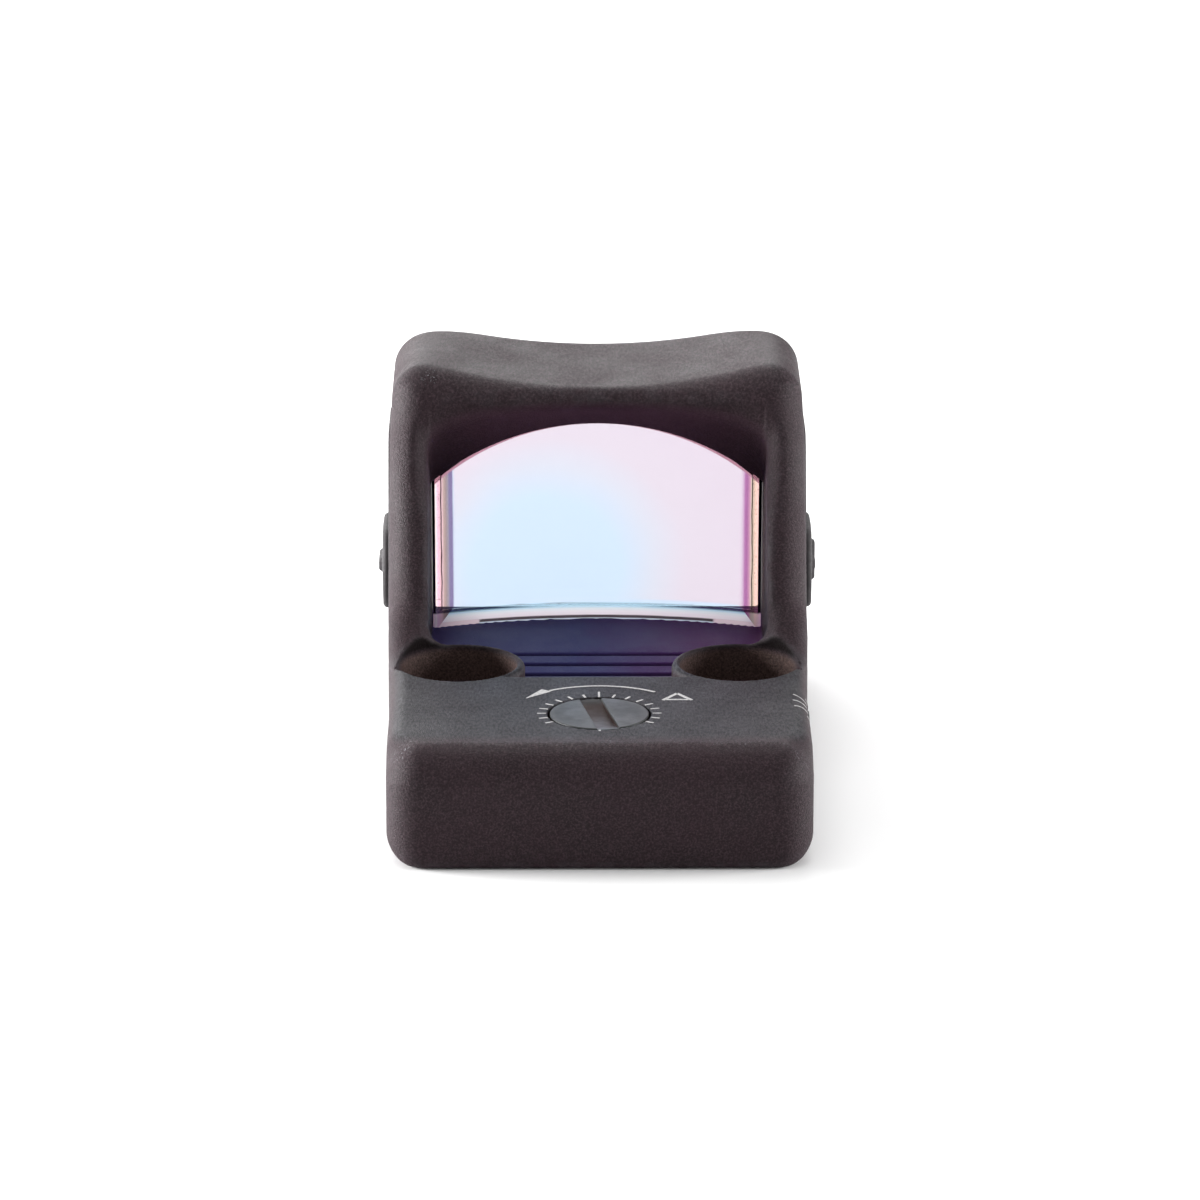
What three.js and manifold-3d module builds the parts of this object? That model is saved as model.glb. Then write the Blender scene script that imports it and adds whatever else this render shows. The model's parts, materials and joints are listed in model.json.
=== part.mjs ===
// Open mini reflex sight: one-piece housing with a hood, a lens, two slotted adjusters, two rubber buttons
// and everything it holds inside. Millimetres, +Z up, +Y towards the target, +X to the user's right.
// The origin is in the middle of the flat underside.
import * as THREE from 'three';
import { mergeVertices } from 'three/addons/utils/BufferGeometryUtils.js';
import { ConvexGeometry } from 'three/addons/geometries/ConvexGeometry.js';
import Module from 'manifold-3d';

// Overall body
const LENGTH = 45;
const REAR_Y = -LENGTH / 2;
const FRONT_Y = LENGTH / 2;
const HEIGHT = 25;
const REAR_HALF_WIDTH = 13.95;
const HOOD_HALF_WIDTH = 14.3;
const DECK_Z = 8;
const DECK_FRONT_Y = -5.9;
const PLAN_CORNER_R = 2.3;
const UNDER_CORNER_R = 1.9;
const DECK_EDGE_R = 1.2;
const DECK_REAR_EDGE_R = 3;

// Hood, seen from the side
const HOOD_FOOT_Y = -2.9;
const HOOD_SLOPE_START = [2.3, 11.1];
const HOOD_TOP_REAR_Y = 10.3;
const HOOD_TOP_FRONT_Y = 21.7;
const HOOD_SIDE_LEAN = 0.25;
const HORN_R = 2.4;
const SCOOP_HALF_WIDTH = 10.6;
const SCOOP_DEPTH = 1.2;
const SCOOP_TILT = THREE.MathUtils.degToRad(3.2);
const DISH_START_Y = 6;
const DISH_END_Y = 12.3;

// Window, lens bay and screw pockets
const WINDOW_HALF_WIDTH = 11.6;
const WINDOW_SPRING_Z = 16.1;
const WINDOW_PEAK_Z = 20.4;
const BAY_FLOOR_Z = 5.3;
const SILL_Y = 18.75;
const SILL_FRONT_Z = 4.15;
const POCKET_X = 9.45;
const POCKET_Y = -3;
const POCKET_R = 3.97;
const POCKET_SEAT_Z = 4;
const POCKET_WALL = 0.78;
const MOUNT_HOLE_R = 1.8;
const GROOVE_YS = [2.6, 4.85, 7.15];
const GROOVE_WIDTH = 0.6;
const GROOVE_DEPTH = 0.4;

// Lens: a meniscus of even thickness, hollow side to the eye, leaning back so that it looks at the emitter
const LENS_R = 32;
const LENS_THICKNESS = 2;
const LENS_VERTEX = [0, 15.9, 12.5];
const LENS_TILT = THREE.MathUtils.degToRad(7.7);
const LENS_GAP = 0.1;
const LENS_BOTTOM_Z = 4.75;
const SEAL_WIDTH = 0.6;
const SEAL_DEPTH = 0.6;

// Adjusters: both are a slotted head, a shaft and a fine thread
const ELEVATION_Y = -14.1;
const WINDAGE_Y = -11.3;
const WINDAGE_Z = 4.2;
const SHAFT_R = 1.5;
const THREAD_R = 1.25;
const RUNNING_GAP = 0.15;
const HEAD_GAP = 0.1;
const ELEVATION_HEAD_R = 3.275;
const WINDAGE_HEAD_R = 3;
const HEAD_THICKNESS = 1.35;
const HEAD_CHAMFER = 0.1;
const SLOT_WIDTH = 1.45;
const SLOT_DEPTH = 0.4;
const ELEVATION_SLOT_TURN = THREE.MathUtils.degToRad(10.5);
const WINDAGE_SLOT_TURN = THREE.MathUtils.degToRad(-18);
const O_RING_R = 0.28;
const O_RING_SEAT_R = 2.25;
const O_RING_SEAT_DEPTH = 0.6;
const CLICKS = 24;
const CLICK_WHEEL_R = 2.2;
const CLICK_TOOTH = 0.3;
const CLICK_WHEEL_THICKNESS = 0.5;
const LEAF_THICKNESS = 0.18;

// Room for the mechanism, the board and the battery
const PLATE_THICKNESS = 0.5;
const PLATE_RECESS = 0.8;
const CAVITY_REAR_Y = -20;
const CAVITY_FRONT_Y = -8.1;
const CAVITY_ROOF_Z = 6;
const BOARD_ROOF_Z = 2.1;
const BATTERY_Y = 10.4;
const BATTERY_R = 10;
const BATTERY_BOTTOM_Z = 0.85;
const BATTERY_THICKNESS = 3.2;
const REAR_SCREW = [7, -18.6];
const FRONT_SCREW = [9.8, 19.2];
const PLATE_SCREW_R = 0.65;
const PLATE_SCREW_HEAD_R = 1.1;

// Side plates and buttons
const BUTTON_Y = 13;
const BUTTON_Z = 10.5;
const BUTTON_LENGTH = 9.2;
const BUTTON_HEIGHT = 5.6;
const BUTTON_FLANGE = 0.7;
const BUTTON_FACE_X = 14.95;
const BUTTON_MARK_X = 15.2;
const SIDE_PLATE_X = 14.45;
const SIDE_PLATE_THICKNESS = 0.95;
const BUTTON_ROOM_X = 11.95;
const SWITCH_XS = [12, 12.35];
const BUTTON_FLANGE_XS = [12.8, 13.3];

const ROUND = 32;
const wasm = await Module();
wasm.setup();

// --- Solids -------------------------------------------------------------------------------------------

// A closed three.js geometry as a solid that can be joined and cut.
function solid(geometry) {
  const bare = geometry.clone();
  bare.deleteAttribute('normal');
  bare.deleteAttribute('uv');
  const merged = mergeVertices(bare, 1e-4);
  const index = Array.from(merged.index.array);
  const triangles = [];
  for (let i = 0; i < index.length; i += 3) {
    const [a, b, c] = index.slice(i, i + 3);
    if (a !== b && b !== c && c !== a) triangles.push(a, b, c);
  }
  return new wasm.Manifold(new wasm.Mesh({
    numProp: 3,
    vertProperties: new Float32Array(merged.attributes.position.array),
    triVerts: new Uint32Array(triangles),
  }));
}

function join(first, ...others) {
  return others.reduce((sum, other) => sum.add(other), first);
}

function cut(body, ...tools) {
  return tools.reduce((rest, tool) => rest.subtract(tool), body);
}

function common(first, ...others) {
  return others.reduce((rest, other) => rest.intersect(other), first);
}

function box(xs, ys, zs) {
  const sizes = [xs, ys, zs].map(([low, high]) => high - low);
  const middles = [xs, ys, zs].map(([low, high]) => (low + high) / 2);
  return solid(new THREE.BoxGeometry(...sizes).translate(...middles));
}

function cylinderZ([x, y], [low, high], r, segments = ROUND) {
  const geometry = new THREE.CylinderGeometry(r, r, high - low, segments).rotateX(Math.PI / 2);
  return solid(geometry.translate(x, y, (low + high) / 2));
}

function cylinderX([y, z], [low, high], r, segments = ROUND) {
  const geometry = new THREE.CylinderGeometry(r, r, high - low, segments).rotateZ(-Math.PI / 2);
  return solid(geometry.translate((low + high) / 2, y, z));
}

function extrusion(shape, depth) {
  return new THREE.ExtrudeGeometry(shape, { depth, bevelEnabled: false, curveSegments: 8 });
}

// An outline in X and Y, standing from one height to another.
function prismZ(shape, [low, high]) {
  return solid(extrusion(shape, high - low).translate(0, 0, low));
}

// An outline in Y and Z, reaching from one X to another.
function prismX(shape, [low, high]) {
  const turn = new THREE.Matrix4().makeBasis(
    new THREE.Vector3(0, 1, 0),
    new THREE.Vector3(0, 0, 1),
    new THREE.Vector3(1, 0, 0),
  );
  return solid(extrusion(shape, high - low).applyMatrix4(turn).translate(low, 0, 0));
}

// An outline in X and Z, reaching from one Y to another, leaning by a turn about X through a pivot.
function prismY(shape, [low, high], lean = 0, pivot = [0, 0]) {
  const geometry = extrusion(shape, high - low).rotateX(Math.PI / 2).translate(0, high, 0);
  if (lean !== 0) {
    geometry.translate(0, -pivot[0], -pivot[1]).rotateX(lean).translate(0, pivot[0], pivot[1]);
  }
  return solid(geometry);
}

// A shape turned about the Z axis, from [radius, height] points.
function turnedZ(points, segments = ROUND) {
  const profile = points.map(([r, z]) => new THREE.Vector2(r, z));
  return new THREE.LatheGeometry(profile, segments).rotateX(Math.PI / 2);
}

// A shape turned about the X axis, from [radius, distance along X] points.
function turnedX(points, segments = ROUND) {
  const profile = points.map(([r, x]) => new THREE.Vector2(r, x));
  return new THREE.LatheGeometry(profile, segments).rotateZ(-Math.PI / 2);
}

// A polygon whose corners are rounded: each corner is [a, b, radius].
function rounded(corners) {
  const shape = new THREE.Shape();
  corners.forEach(([a, b, r], i) => {
    const corner = new THREE.Vector2(a, b);
    const last = corners[(i + corners.length - 1) % corners.length];
    const next = corners[(i + 1) % corners.length];
    const back = new THREE.Vector2(last[0] - a, last[1] - b).normalize();
    const ahead = new THREE.Vector2(next[0] - a, next[1] - b).normalize();
    const half = Math.acos(THREE.MathUtils.clamp(back.dot(ahead), -1, 1)) / 2;
    const reach = r / Math.tan(half);
    const start = corner.clone().addScaledVector(back, reach);
    const end = corner.clone().addScaledVector(ahead, reach);
    if (i === 0) shape.moveTo(start.x, start.y);
    else shape.lineTo(start.x, start.y);
    if (r > 0) shape.quadraticCurveTo(a, b, end.x, end.y);
  });
  shape.closePath();
  return shape;
}

// A stadium outline, longer along its first axis.
function oblong([a, b], length, height) {
  const r = height / 2;
  const reach = length / 2 - r;
  const shape = new THREE.Shape();
  shape.moveTo(a - reach, b - r);
  shape.lineTo(a + reach, b - r);
  shape.absarc(a + reach, b, r, -Math.PI / 2, Math.PI / 2, false);
  shape.lineTo(a - reach, b + r);
  shape.absarc(a - reach, b, r, Math.PI / 2, Math.PI * 1.5, false);
  return shape;
}

function mirroredX(outline) {
  return outline.map(([x, y, r]) => [-x, y, r]).reverse();
}

function geometryOf(body) {
  const { vertProperties, triVerts } = body.getMesh();
  const geometry = new THREE.BufferGeometry();
  geometry.setAttribute('position', new THREE.BufferAttribute(vertProperties, 3));
  geometry.setIndex(new THREE.BufferAttribute(triVerts, 1));
  geometry.computeVertexNormals();
  return geometry;
}

// --- Materials: colour, roughness, metalness ----------------------------------------------------------

const FINISH = {
  anodised: [0x2e2a2d, 0.55, 0.35],
  glass: [0xd6e8f5, 0.05, 0],
  adhesive: [0x6a4a3c, 0.5, 0],
  blackSteel: [0x4a4c4e, 0.4, 0.7],
  steel: [0xb4b6b8, 0.3, 0.9],
  brass: [0xb08d4a, 0.35, 0.9],
  rubber: [0x232123, 0.8, 0],
  gold: [0xcaa24c, 0.3, 0.9],
  board: [0x1f5a38, 0.5, 0],
  blackPlastic: [0x19191b, 0.5, 0],
  clearEpoxy: [0xd9473a, 0.2, 0],
};

const sight = new THREE.Group();

function add(name, body, finish) {
  const [color, roughness, metalness] = FINISH[finish];
  const geometry = body.isBufferGeometry ? body : geometryOf(body);
  const mesh = new THREE.Mesh(geometry, new THREE.MeshStandardMaterial({ color, roughness, metalness }));
  mesh.name = name;
  sight.add(mesh);
  return mesh;
}

// --- Outlines that several pieces share ---------------------------------------------------------------

// The window seen from behind: straight sides and an arched top, pulled in by `inset`.
function windowShape(inset, bottom) {
  const half = WINDOW_HALF_WIDTH - inset;
  const rise = WINDOW_PEAK_Z - WINDOW_SPRING_Z;
  const archR = (WINDOW_HALF_WIDTH ** 2 + rise ** 2) / (2 * rise);
  const centreZ = WINDOW_PEAK_Z - archR;
  const r = archR - inset;
  const angle = Math.acos(half / r);
  const shape = new THREE.Shape();
  shape.moveTo(-half, bottom);
  shape.lineTo(half, bottom);
  shape.absarc(0, centreZ, r, angle, Math.PI - angle, false);
  shape.closePath();
  return shape;
}

// A spherical layer like the lens, from `near` to `far` in front of the lens's rear face.
function lensLayer(near, far) {
  const reach = 16;
  const steps = 7;
  const face = (offset) => (r) => offset - (LENS_R + offset - Math.sqrt((LENS_R + offset) ** 2 - r ** 2));
  const [rear, front] = [face(near), face(far)];
  const radii = Array.from({ length: steps + 1 }, (_, i) => (reach * i) / steps);
  const profile = [
    ...radii.map((r) => new THREE.Vector2(r, rear(r))),
    ...radii.reverse().map((r) => new THREE.Vector2(r, front(r))),
  ];
  const geometry = new THREE.LatheGeometry(profile, 40).rotateX(LENS_TILT).translate(...LENS_VERTEX);
  return solid(geometry);
}

// The underside cover: two wide ends and a waist between the mounting holes.
function coverOutline(grow) {
  const right = [
    [12.2 + grow, -20.9 - grow, 1.2],
    [12.2 + grow, -7.4 + grow, 1.2],
    [6.6 + grow, -7.4 + grow, 0],
    [6.6 + grow, 1.1 - grow, 0],
    [11.9 + grow, 1.1 - grow, 1.2],
    [11.9 + grow, 21.6 + grow, 2],
  ];
  return rounded([...right, ...mirroredX(right)]);
}

function sidePlateOutline(grow) {
  return rounded([
    [6.2 - grow, 5.9 - grow, 1.8],
    [20.6 + grow, 5.9 - grow, 1.8],
    [19.4 + grow, 20.2 + grow, 1.8],
    [11.2 - grow, 20.2 + grow, 1.8],
  ]);
}

// --- Housing ------------------------------------------------------------------------------------------

function bodyPlan() {
  const right = [
    [REAR_HALF_WIDTH, REAR_Y, PLAN_CORNER_R],
    [REAR_HALF_WIDTH, -8, 0],
    [HOOD_HALF_WIDTH, 1, 0],
    [HOOD_HALF_WIDTH, FRONT_Y, 3],
  ];
  return rounded([...right, ...mirroredX(right)]);
}

function baseBlock() {
  const section = rounded([
    [-HOOD_HALF_WIDTH, 0, UNDER_CORNER_R],
    [HOOD_HALF_WIDTH, 0, UNDER_CORNER_R],
    [HOOD_HALF_WIDTH, DECK_Z, DECK_EDGE_R],
    [-HOOD_HALF_WIDTH, DECK_Z, DECK_EDGE_R],
  ]);
  const side = rounded([
    [REAR_Y, 0, 0.6],
    [FRONT_Y, 0, 0.6],
    [FRONT_Y, DECK_Z, 1],
    [REAR_Y, DECK_Z, DECK_REAR_EDGE_R],
  ]);
  return common(
    prismZ(bodyPlan(), [0, DECK_Z]),
    prismY(section, [REAR_Y - 1, FRONT_Y + 1]),
    prismX(side, [-HOOD_HALF_WIDTH - 1, HOOD_HALF_WIDTH + 1]),
  );
}

function hoodBlock() {
  const side = new THREE.Shape();
  side.moveTo(HOOD_FOOT_Y, DECK_Z - 1.5);
  side.lineTo(HOOD_FOOT_Y, DECK_Z);
  side.quadraticCurveTo(HOOD_FOOT_Y + 3.4, DECK_Z, ...HOOD_SLOPE_START);
  side.lineTo(HOOD_TOP_REAR_Y - 0.8, HEIGHT - 1.39);
  side.quadraticCurveTo(HOOD_TOP_REAR_Y, HEIGHT, HOOD_TOP_REAR_Y + 1.6, HEIGHT);
  side.lineTo(HOOD_TOP_FRONT_Y - 1.5, HEIGHT);
  side.quadraticCurveTo(HOOD_TOP_FRONT_Y, HEIGHT, HOOD_TOP_FRONT_Y + 0.2, HEIGHT - 1.5);
  side.lineTo(FRONT_Y, DECK_Z - 1.5);
  side.closePath();
  const section = rounded([
    [-HOOD_HALF_WIDTH, 4, 0],
    [HOOD_HALF_WIDTH, 4, 0],
    [HOOD_HALF_WIDTH, 20, 0],
    [HOOD_HALF_WIDTH - HOOD_SIDE_LEAN, HEIGHT, HORN_R],
    [-HOOD_HALF_WIDTH + HOOD_SIDE_LEAN, HEIGHT, HORN_R],
    [-HOOD_HALF_WIDTH, 20, 0],
  ]);
  return common(
    prismX(side, [-HOOD_HALF_WIDTH - 1, HOOD_HALF_WIDTH + 1]),
    prismY(section, [HOOD_FOOT_Y - 1, FRONT_Y + 1]),
    prismZ(bodyPlan(), [0, HEIGHT + 1]),
  );
}

// The scooped top, a little deeper towards the rear.
function scoop() {
  const r = (SCOOP_HALF_WIDTH ** 2 + SCOOP_DEPTH ** 2) / (2 * SCOOP_DEPTH);
  const half = Math.asin(SCOOP_HALF_WIDTH / r);
  const shape = new THREE.Shape();
  shape.moveTo(-SCOOP_HALF_WIDTH, HEIGHT + 4);
  shape.absarc(0, HEIGHT - SCOOP_DEPTH + r, r, -Math.PI / 2 - half, -Math.PI / 2 + half, false);
  shape.lineTo(SCOOP_HALF_WIDTH, HEIGHT + 4);
  shape.closePath();
  const middle = (HOOD_TOP_REAR_Y + HOOD_TOP_FRONT_Y) / 2;
  return prismY(shape, [HOOD_FOOT_Y, FRONT_Y + 4], SCOOP_TILT, [middle, HEIGHT]);
}

// The bar over the window is dished: its rear face falls forward to the arch.
function dish() {
  const wide = rounded([
    [-WINDOW_HALF_WIDTH, BAY_FLOOR_Z, 0],
    [WINDOW_HALF_WIDTH, BAY_FLOOR_Z, 0],
    [WINDOW_HALF_WIDTH, HEIGHT + 1, 3.4],
    [-WINDOW_HALF_WIDTH, HEIGHT + 1, 3.4],
  ]);
  const at = (shape, y) => shape.getPoints(8).map((p) => new THREE.Vector3(p.x, y, p.y));
  const arch = windowShape(0, BAY_FLOOR_Z);
  const fall = solid(new ConvexGeometry([...at(wide, DISH_START_Y), ...at(arch, DISH_END_Y)]));
  return join(fall, prismY(wide, [HOOD_SLOPE_START[0] - 0.7, DISH_START_Y + 0.01]));
}

// Space between the pockets: it follows each pocket's wall, then runs on between the posts.
function bayPlan() {
  const r = POCKET_R + POCKET_WALL;
  const end = Math.acos((POCKET_X - WINDOW_HALF_WIDTH) / r);
  const start = Math.PI + Math.asin((POCKET_Y - DECK_FRONT_Y) / r);
  const shape = new THREE.Shape();
  shape.absarc(POCKET_X, POCKET_Y, r, start, Math.PI - end, true);
  shape.lineTo(WINDOW_HALF_WIDTH, POCKET_Y + r * Math.sin(end) + 0.6);
  shape.lineTo(-WINDOW_HALF_WIDTH, POCKET_Y + r * Math.sin(end) + 0.6);
  shape.absarc(-POCKET_X, POCKET_Y, r, end, Math.PI - start, true);
  shape.closePath();
  return shape;
}

// In front of the lens the bay's floor slopes down, so that the eye sees past it.
function sill() {
  const shape = new THREE.Shape();
  shape.moveTo(SILL_Y, BAY_FLOOR_Z);
  shape.lineTo(FRONT_Y, SILL_FRONT_Z);
  shape.lineTo(FRONT_Y + 1, SILL_FRONT_Z);
  shape.lineTo(FRONT_Y + 1, BAY_FLOOR_Z + 0.5);
  shape.lineTo(SILL_Y, BAY_FLOOR_Z + 0.5);
  shape.closePath();
  return prismX(shape, [-WINDOW_HALF_WIDTH, WINDOW_HALF_WIDTH]);
}

function underCavities() {
  const main = join(
    box([-8, 11.2], [CAVITY_REAR_Y, CAVITY_FRONT_Y], [PLATE_RECESS - 0.2, CAVITY_ROOF_Z]),
    box([-12.3, 0], [CAVITY_REAR_Y, CAVITY_FRONT_Y], [PLATE_RECESS - 0.2, BOARD_ROOF_Z]),
    box([-4.3, 4.3], [-10.5, -7.1], [PLATE_RECESS - 0.2, 7.3]),
    box([10.1, 11.2], [WINDAGE_Y - 2.6, WINDAGE_Y + 2.6], [2, 6.6]),
  );
  const bosses = [-1, 1].map((side) =>
    cylinderZ([side * REAR_SCREW[0], REAR_SCREW[1]], [0, CAVITY_ROOF_Z], 1.5, 16));
  const screwBoss = cylinderZ([0, ELEVATION_Y], [5.6, CAVITY_ROOF_Z], 2.4, 24);
  return join(
    cut(main, ...bosses, screwBoss),
    box([-7.2, -2.2], [CAVITY_FRONT_Y - 0.2, 2], [PLATE_RECESS - 0.2, BOARD_ROOF_Z]),
    box([-7.2, -4.6], [-0.6, 4], [PLATE_RECESS - 0.2, 3.4]),
    box([-4.6, -2.4], [-0.6, 14], [PLATE_RECESS - 0.2, 4.45]),
    cylinderZ([0, BATTERY_Y], [PLATE_RECESS - 0.2, 4.15], BATTERY_R + 0.15, 48),
    prismZ(coverOutline(0.1), [-1, PLATE_RECESS]),
  );
}

function adjusterHoles() {
  const seatZ = DECK_Z - HEAD_THICKNESS - HEAD_GAP;
  const seatX = REAR_HALF_WIDTH - HEAD_THICKNESS - HEAD_GAP;
  const windage = [WINDAGE_Y, WINDAGE_Z];
  return join(
    cylinderZ([0, ELEVATION_Y], [seatZ, DECK_Z + 2], ELEVATION_HEAD_R + HEAD_GAP),
    cylinderZ([0, ELEVATION_Y], [seatZ - O_RING_SEAT_DEPTH, DECK_Z], O_RING_SEAT_R),
    cylinderZ([0, ELEVATION_Y], [5, DECK_Z], SHAFT_R + RUNNING_GAP),
    cylinderX(windage, [seatX, REAR_HALF_WIDTH + 2], WINDAGE_HEAD_R + HEAD_GAP),
    cylinderX(windage, [seatX - O_RING_SEAT_DEPTH, REAR_HALF_WIDTH], O_RING_SEAT_R),
    cylinderX(windage, [10.5, REAR_HALF_WIDTH], SHAFT_R + RUNNING_GAP),
  );
}

function sideRecesses(side) {
  const at = (low, high) => (side > 0 ? [low, high] : [-high, -low]);
  const seatX = SIDE_PLATE_X - SIDE_PLATE_THICKNESS - 0.1;
  const flange = oblong([BUTTON_Y, BUTTON_Z], BUTTON_LENGTH + 1.9, BUTTON_HEIGHT + 1.9);
  return join(
    prismX(sidePlateOutline(0.1), at(seatX, 16)),
    prismX(flange, at(BUTTON_ROOM_X, seatX + 0.2)),
  );
}

function housing() {
  const pocketCuts = [-1, 1].flatMap((side) => [
    cylinderZ([side * POCKET_X, POCKET_Y], [POCKET_SEAT_Z, 13], POCKET_R, 40),
    cylinderZ([side * POCKET_X, POCKET_Y], [-1, POCKET_SEAT_Z + 1], MOUNT_HOLE_R, 24),
    cylinderZ([side * REAR_SCREW[0], REAR_SCREW[1]], [0, 3.4], PLATE_SCREW_R + 0.1, 12),
    cylinderZ([side * FRONT_SCREW[0], FRONT_SCREW[1]], [0, 3.4], PLATE_SCREW_R + 0.1, 12),
    sideRecesses(side),
  ]);
  const grooves = GROOVE_YS.map((y) => box(
    [-WINDOW_HALF_WIDTH, WINDOW_HALF_WIDTH],
    [y, y + GROOVE_WIDTH],
    [BAY_FLOOR_Z - GROOVE_DEPTH, BAY_FLOOR_Z + 1],
  ));
  const tunnelStart = 1.4;
  const lensSeat = common(
    prismY(windowShape(0, LENS_BOTTOM_Z - LENS_GAP), [8, FRONT_Y]),
    lensLayer(-0.12, LENS_THICKNESS + SEAL_DEPTH + 0.1),
  );
  return cut(
    join(baseBlock(), hoodBlock()),
    scoop(),
    dish(),
    prismZ(bayPlan(), [BAY_FLOOR_Z, 12]),
    prismY(windowShape(0, BAY_FLOOR_Z), [tunnelStart, FRONT_Y + 1]),
    box([-WINDOW_HALF_WIDTH, WINDOW_HALF_WIDTH], [HOOD_FOOT_Y - 0.5, tunnelStart + 0.1], [DECK_Z, 12]),
    sill(),
    lensSeat,
    ...grooves,
    ...pocketCuts,
    underCavities(),
    adjusterHoles(),
    box([-10, -7.9], [ELEVATION_Y - 2.5, ELEVATION_Y - 2.2], [4.95, 5.45]),
    box([10.4, 10.9], [-21.3, CAVITY_REAR_Y + 0.1], [1.7, 2]),
    box([-2.6, 2.6], [-7.2, -6.7], [5.5, 7.1]),
    box([-3.2, 3.2], [-6.9, DECK_FRONT_Y + 1], [BAY_FLOOR_Z, 7.4]),
  );
}

add('housing', housing(), 'anodised');

// --- Lens ---------------------------------------------------------------------------------------------

const lensPrism = prismY(windowShape(LENS_GAP, LENS_BOTTOM_Z), [6, FRONT_Y + 2]);
add('lens', common(lensPrism, lensLayer(0, LENS_THICKNESS)), 'glass');
add('lens_seal', common(
  cut(lensPrism, prismY(windowShape(LENS_GAP + SEAL_WIDTH, LENS_BOTTOM_Z + SEAL_WIDTH + 0.4), [4, 26])),
  lensLayer(LENS_THICKNESS + 0.04, LENS_THICKNESS + SEAL_DEPTH),
), 'adhesive');
add('emitter_window', box([-3.1, 3.1], [-6.85, -6.2], [BAY_FLOOR_Z + 0.1, 7.3]), 'glass');

// --- Adjusters ----------------------------------------------------------------------------------------

// [radius, distance] points of a slotted screw whose head's face is at `face` and thread ends at `tip`.
function screwProfile(headR, face, shaftEnd, tip) {
  const underHead = face - HEAD_THICKNESS;
  return [
    [0, tip],
    [THREAD_R - 0.2, tip],
    [THREAD_R, tip + 0.2],
    [THREAD_R, shaftEnd],
    [SHAFT_R, shaftEnd],
    [SHAFT_R, underHead],
    [headR, underHead],
    [headR, face - HEAD_CHAMFER],
    [headR - HEAD_CHAMFER, face],
    [0, face],
  ];
}

// A closed ring profile of an O-ring lying at `height`, seated on the shaft.
function oRingProfile(height) {
  const centreR = SHAFT_R + 0.06 + O_RING_R;
  const sides = 8;
  return Array.from({ length: sides + 1 }, (_, i) => {
    const angle = (2 * Math.PI * (i % sides)) / sides;
    return [centreR + O_RING_R * Math.cos(angle), height + O_RING_R * Math.sin(angle)];
  });
}

function clickWheelShape() {
  const shape = new THREE.Shape();
  for (let i = 0; i < CLICKS * 2; i += 1) {
    const angle = (Math.PI * i) / CLICKS;
    const r = i % 2 === 0 ? CLICK_WHEEL_R : CLICK_WHEEL_R - CLICK_TOOTH;
    const [x, y] = [r * Math.cos(angle), r * Math.sin(angle)];
    if (i === 0) shape.moveTo(x, y);
    else shape.lineTo(x, y);
  }
  shape.closePath();
  shape.holes.push(new THREE.Path().absarc(0, 0, SHAFT_R + 0.05, 0, 2 * Math.PI, true));
  return shape;
}

function coilSpring(radius, wireR, length, turns) {
  class Helix extends THREE.Curve {
    getPoint(t, target = new THREE.Vector3()) {
      const angle = 2 * Math.PI * turns * t;
      const z = wireR + (length - 2 * wireR) * t;
      return target.set(radius * Math.cos(angle), radius * Math.sin(angle), z);
    }
  }
  const section = new THREE.Shape().absarc(0, 0, wireR, 0, 2 * Math.PI, false);
  const options = { steps: Math.round(turns * 12), extrudePath: new Helix(), curveSegments: 3 };
  return new THREE.ExtrudeGeometry(section, options);
}

const elevationShaftEnd = 4.9;
const windageShaftEnd = 10.35;
const elevationSlot = new THREE.BoxGeometry(SLOT_WIDTH, 8, 2 * SLOT_DEPTH)
  .rotateZ(ELEVATION_SLOT_TURN)
  .translate(0, ELEVATION_Y, DECK_Z);
const elevationBody = turnedZ(screwProfile(ELEVATION_HEAD_R, DECK_Z, elevationShaftEnd, 2.2), 48);
add('elevation_screw', cut(
  solid(elevationBody.translate(0, ELEVATION_Y, 0)),
  solid(elevationSlot),
), 'blackSteel');

const windageSlot = new THREE.BoxGeometry(2 * SLOT_DEPTH, SLOT_WIDTH, 8)
  .rotateX(WINDAGE_SLOT_TURN)
  .translate(REAR_HALF_WIDTH, WINDAGE_Y, WINDAGE_Z);
const windageBody = turnedX(screwProfile(WINDAGE_HEAD_R, REAR_HALF_WIDTH, windageShaftEnd, 3.6), 48);
add('windage_screw', cut(
  solid(windageBody.translate(0, WINDAGE_Y, WINDAGE_Z)),
  solid(windageSlot),
), 'blackSteel');

const headSeat = HEAD_THICKNESS + HEAD_GAP + O_RING_SEAT_DEPTH - 0.3;
add('elevation_o_ring', solid(
  turnedZ(oRingProfile(DECK_Z - headSeat)).translate(0, ELEVATION_Y, 0),
), 'rubber');
add('windage_o_ring', solid(
  turnedX(oRingProfile(REAR_HALF_WIDTH - headSeat)).translate(0, WINDAGE_Y, WINDAGE_Z),
), 'rubber');

const wheelZ = elevationShaftEnd + 0.05;
const wheelX = windageShaftEnd + 0.05;
const elevationWheel = extrusion(clickWheelShape(), CLICK_WHEEL_THICKNESS);
add('elevation_click_wheel', solid(elevationWheel.translate(0, ELEVATION_Y, wheelZ)), 'steel');
const windageWheel = extrusion(clickWheelShape(), CLICK_WHEEL_THICKNESS).rotateY(Math.PI / 2);
add('windage_click_wheel', solid(windageWheel.translate(wheelX, WINDAGE_Y, WINDAGE_Z)), 'steel');

const leafOffset = CLICK_WHEEL_R + 0.06;
add('elevation_click_spring', box(
  [-9.9, 1.2],
  [ELEVATION_Y - leafOffset - LEAF_THICKNESS, ELEVATION_Y - leafOffset],
  [wheelZ + 0.05, wheelZ + 0.45],
), 'steel');
add('windage_click_spring', box(
  [wheelX + 0.05, wheelX + 0.45],
  [-21.2, WINDAGE_Y + 1.5],
  [WINDAGE_Z - leafOffset - LEAF_THICKNESS, WINDAGE_Z - leafOffset],
), 'steel');

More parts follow.
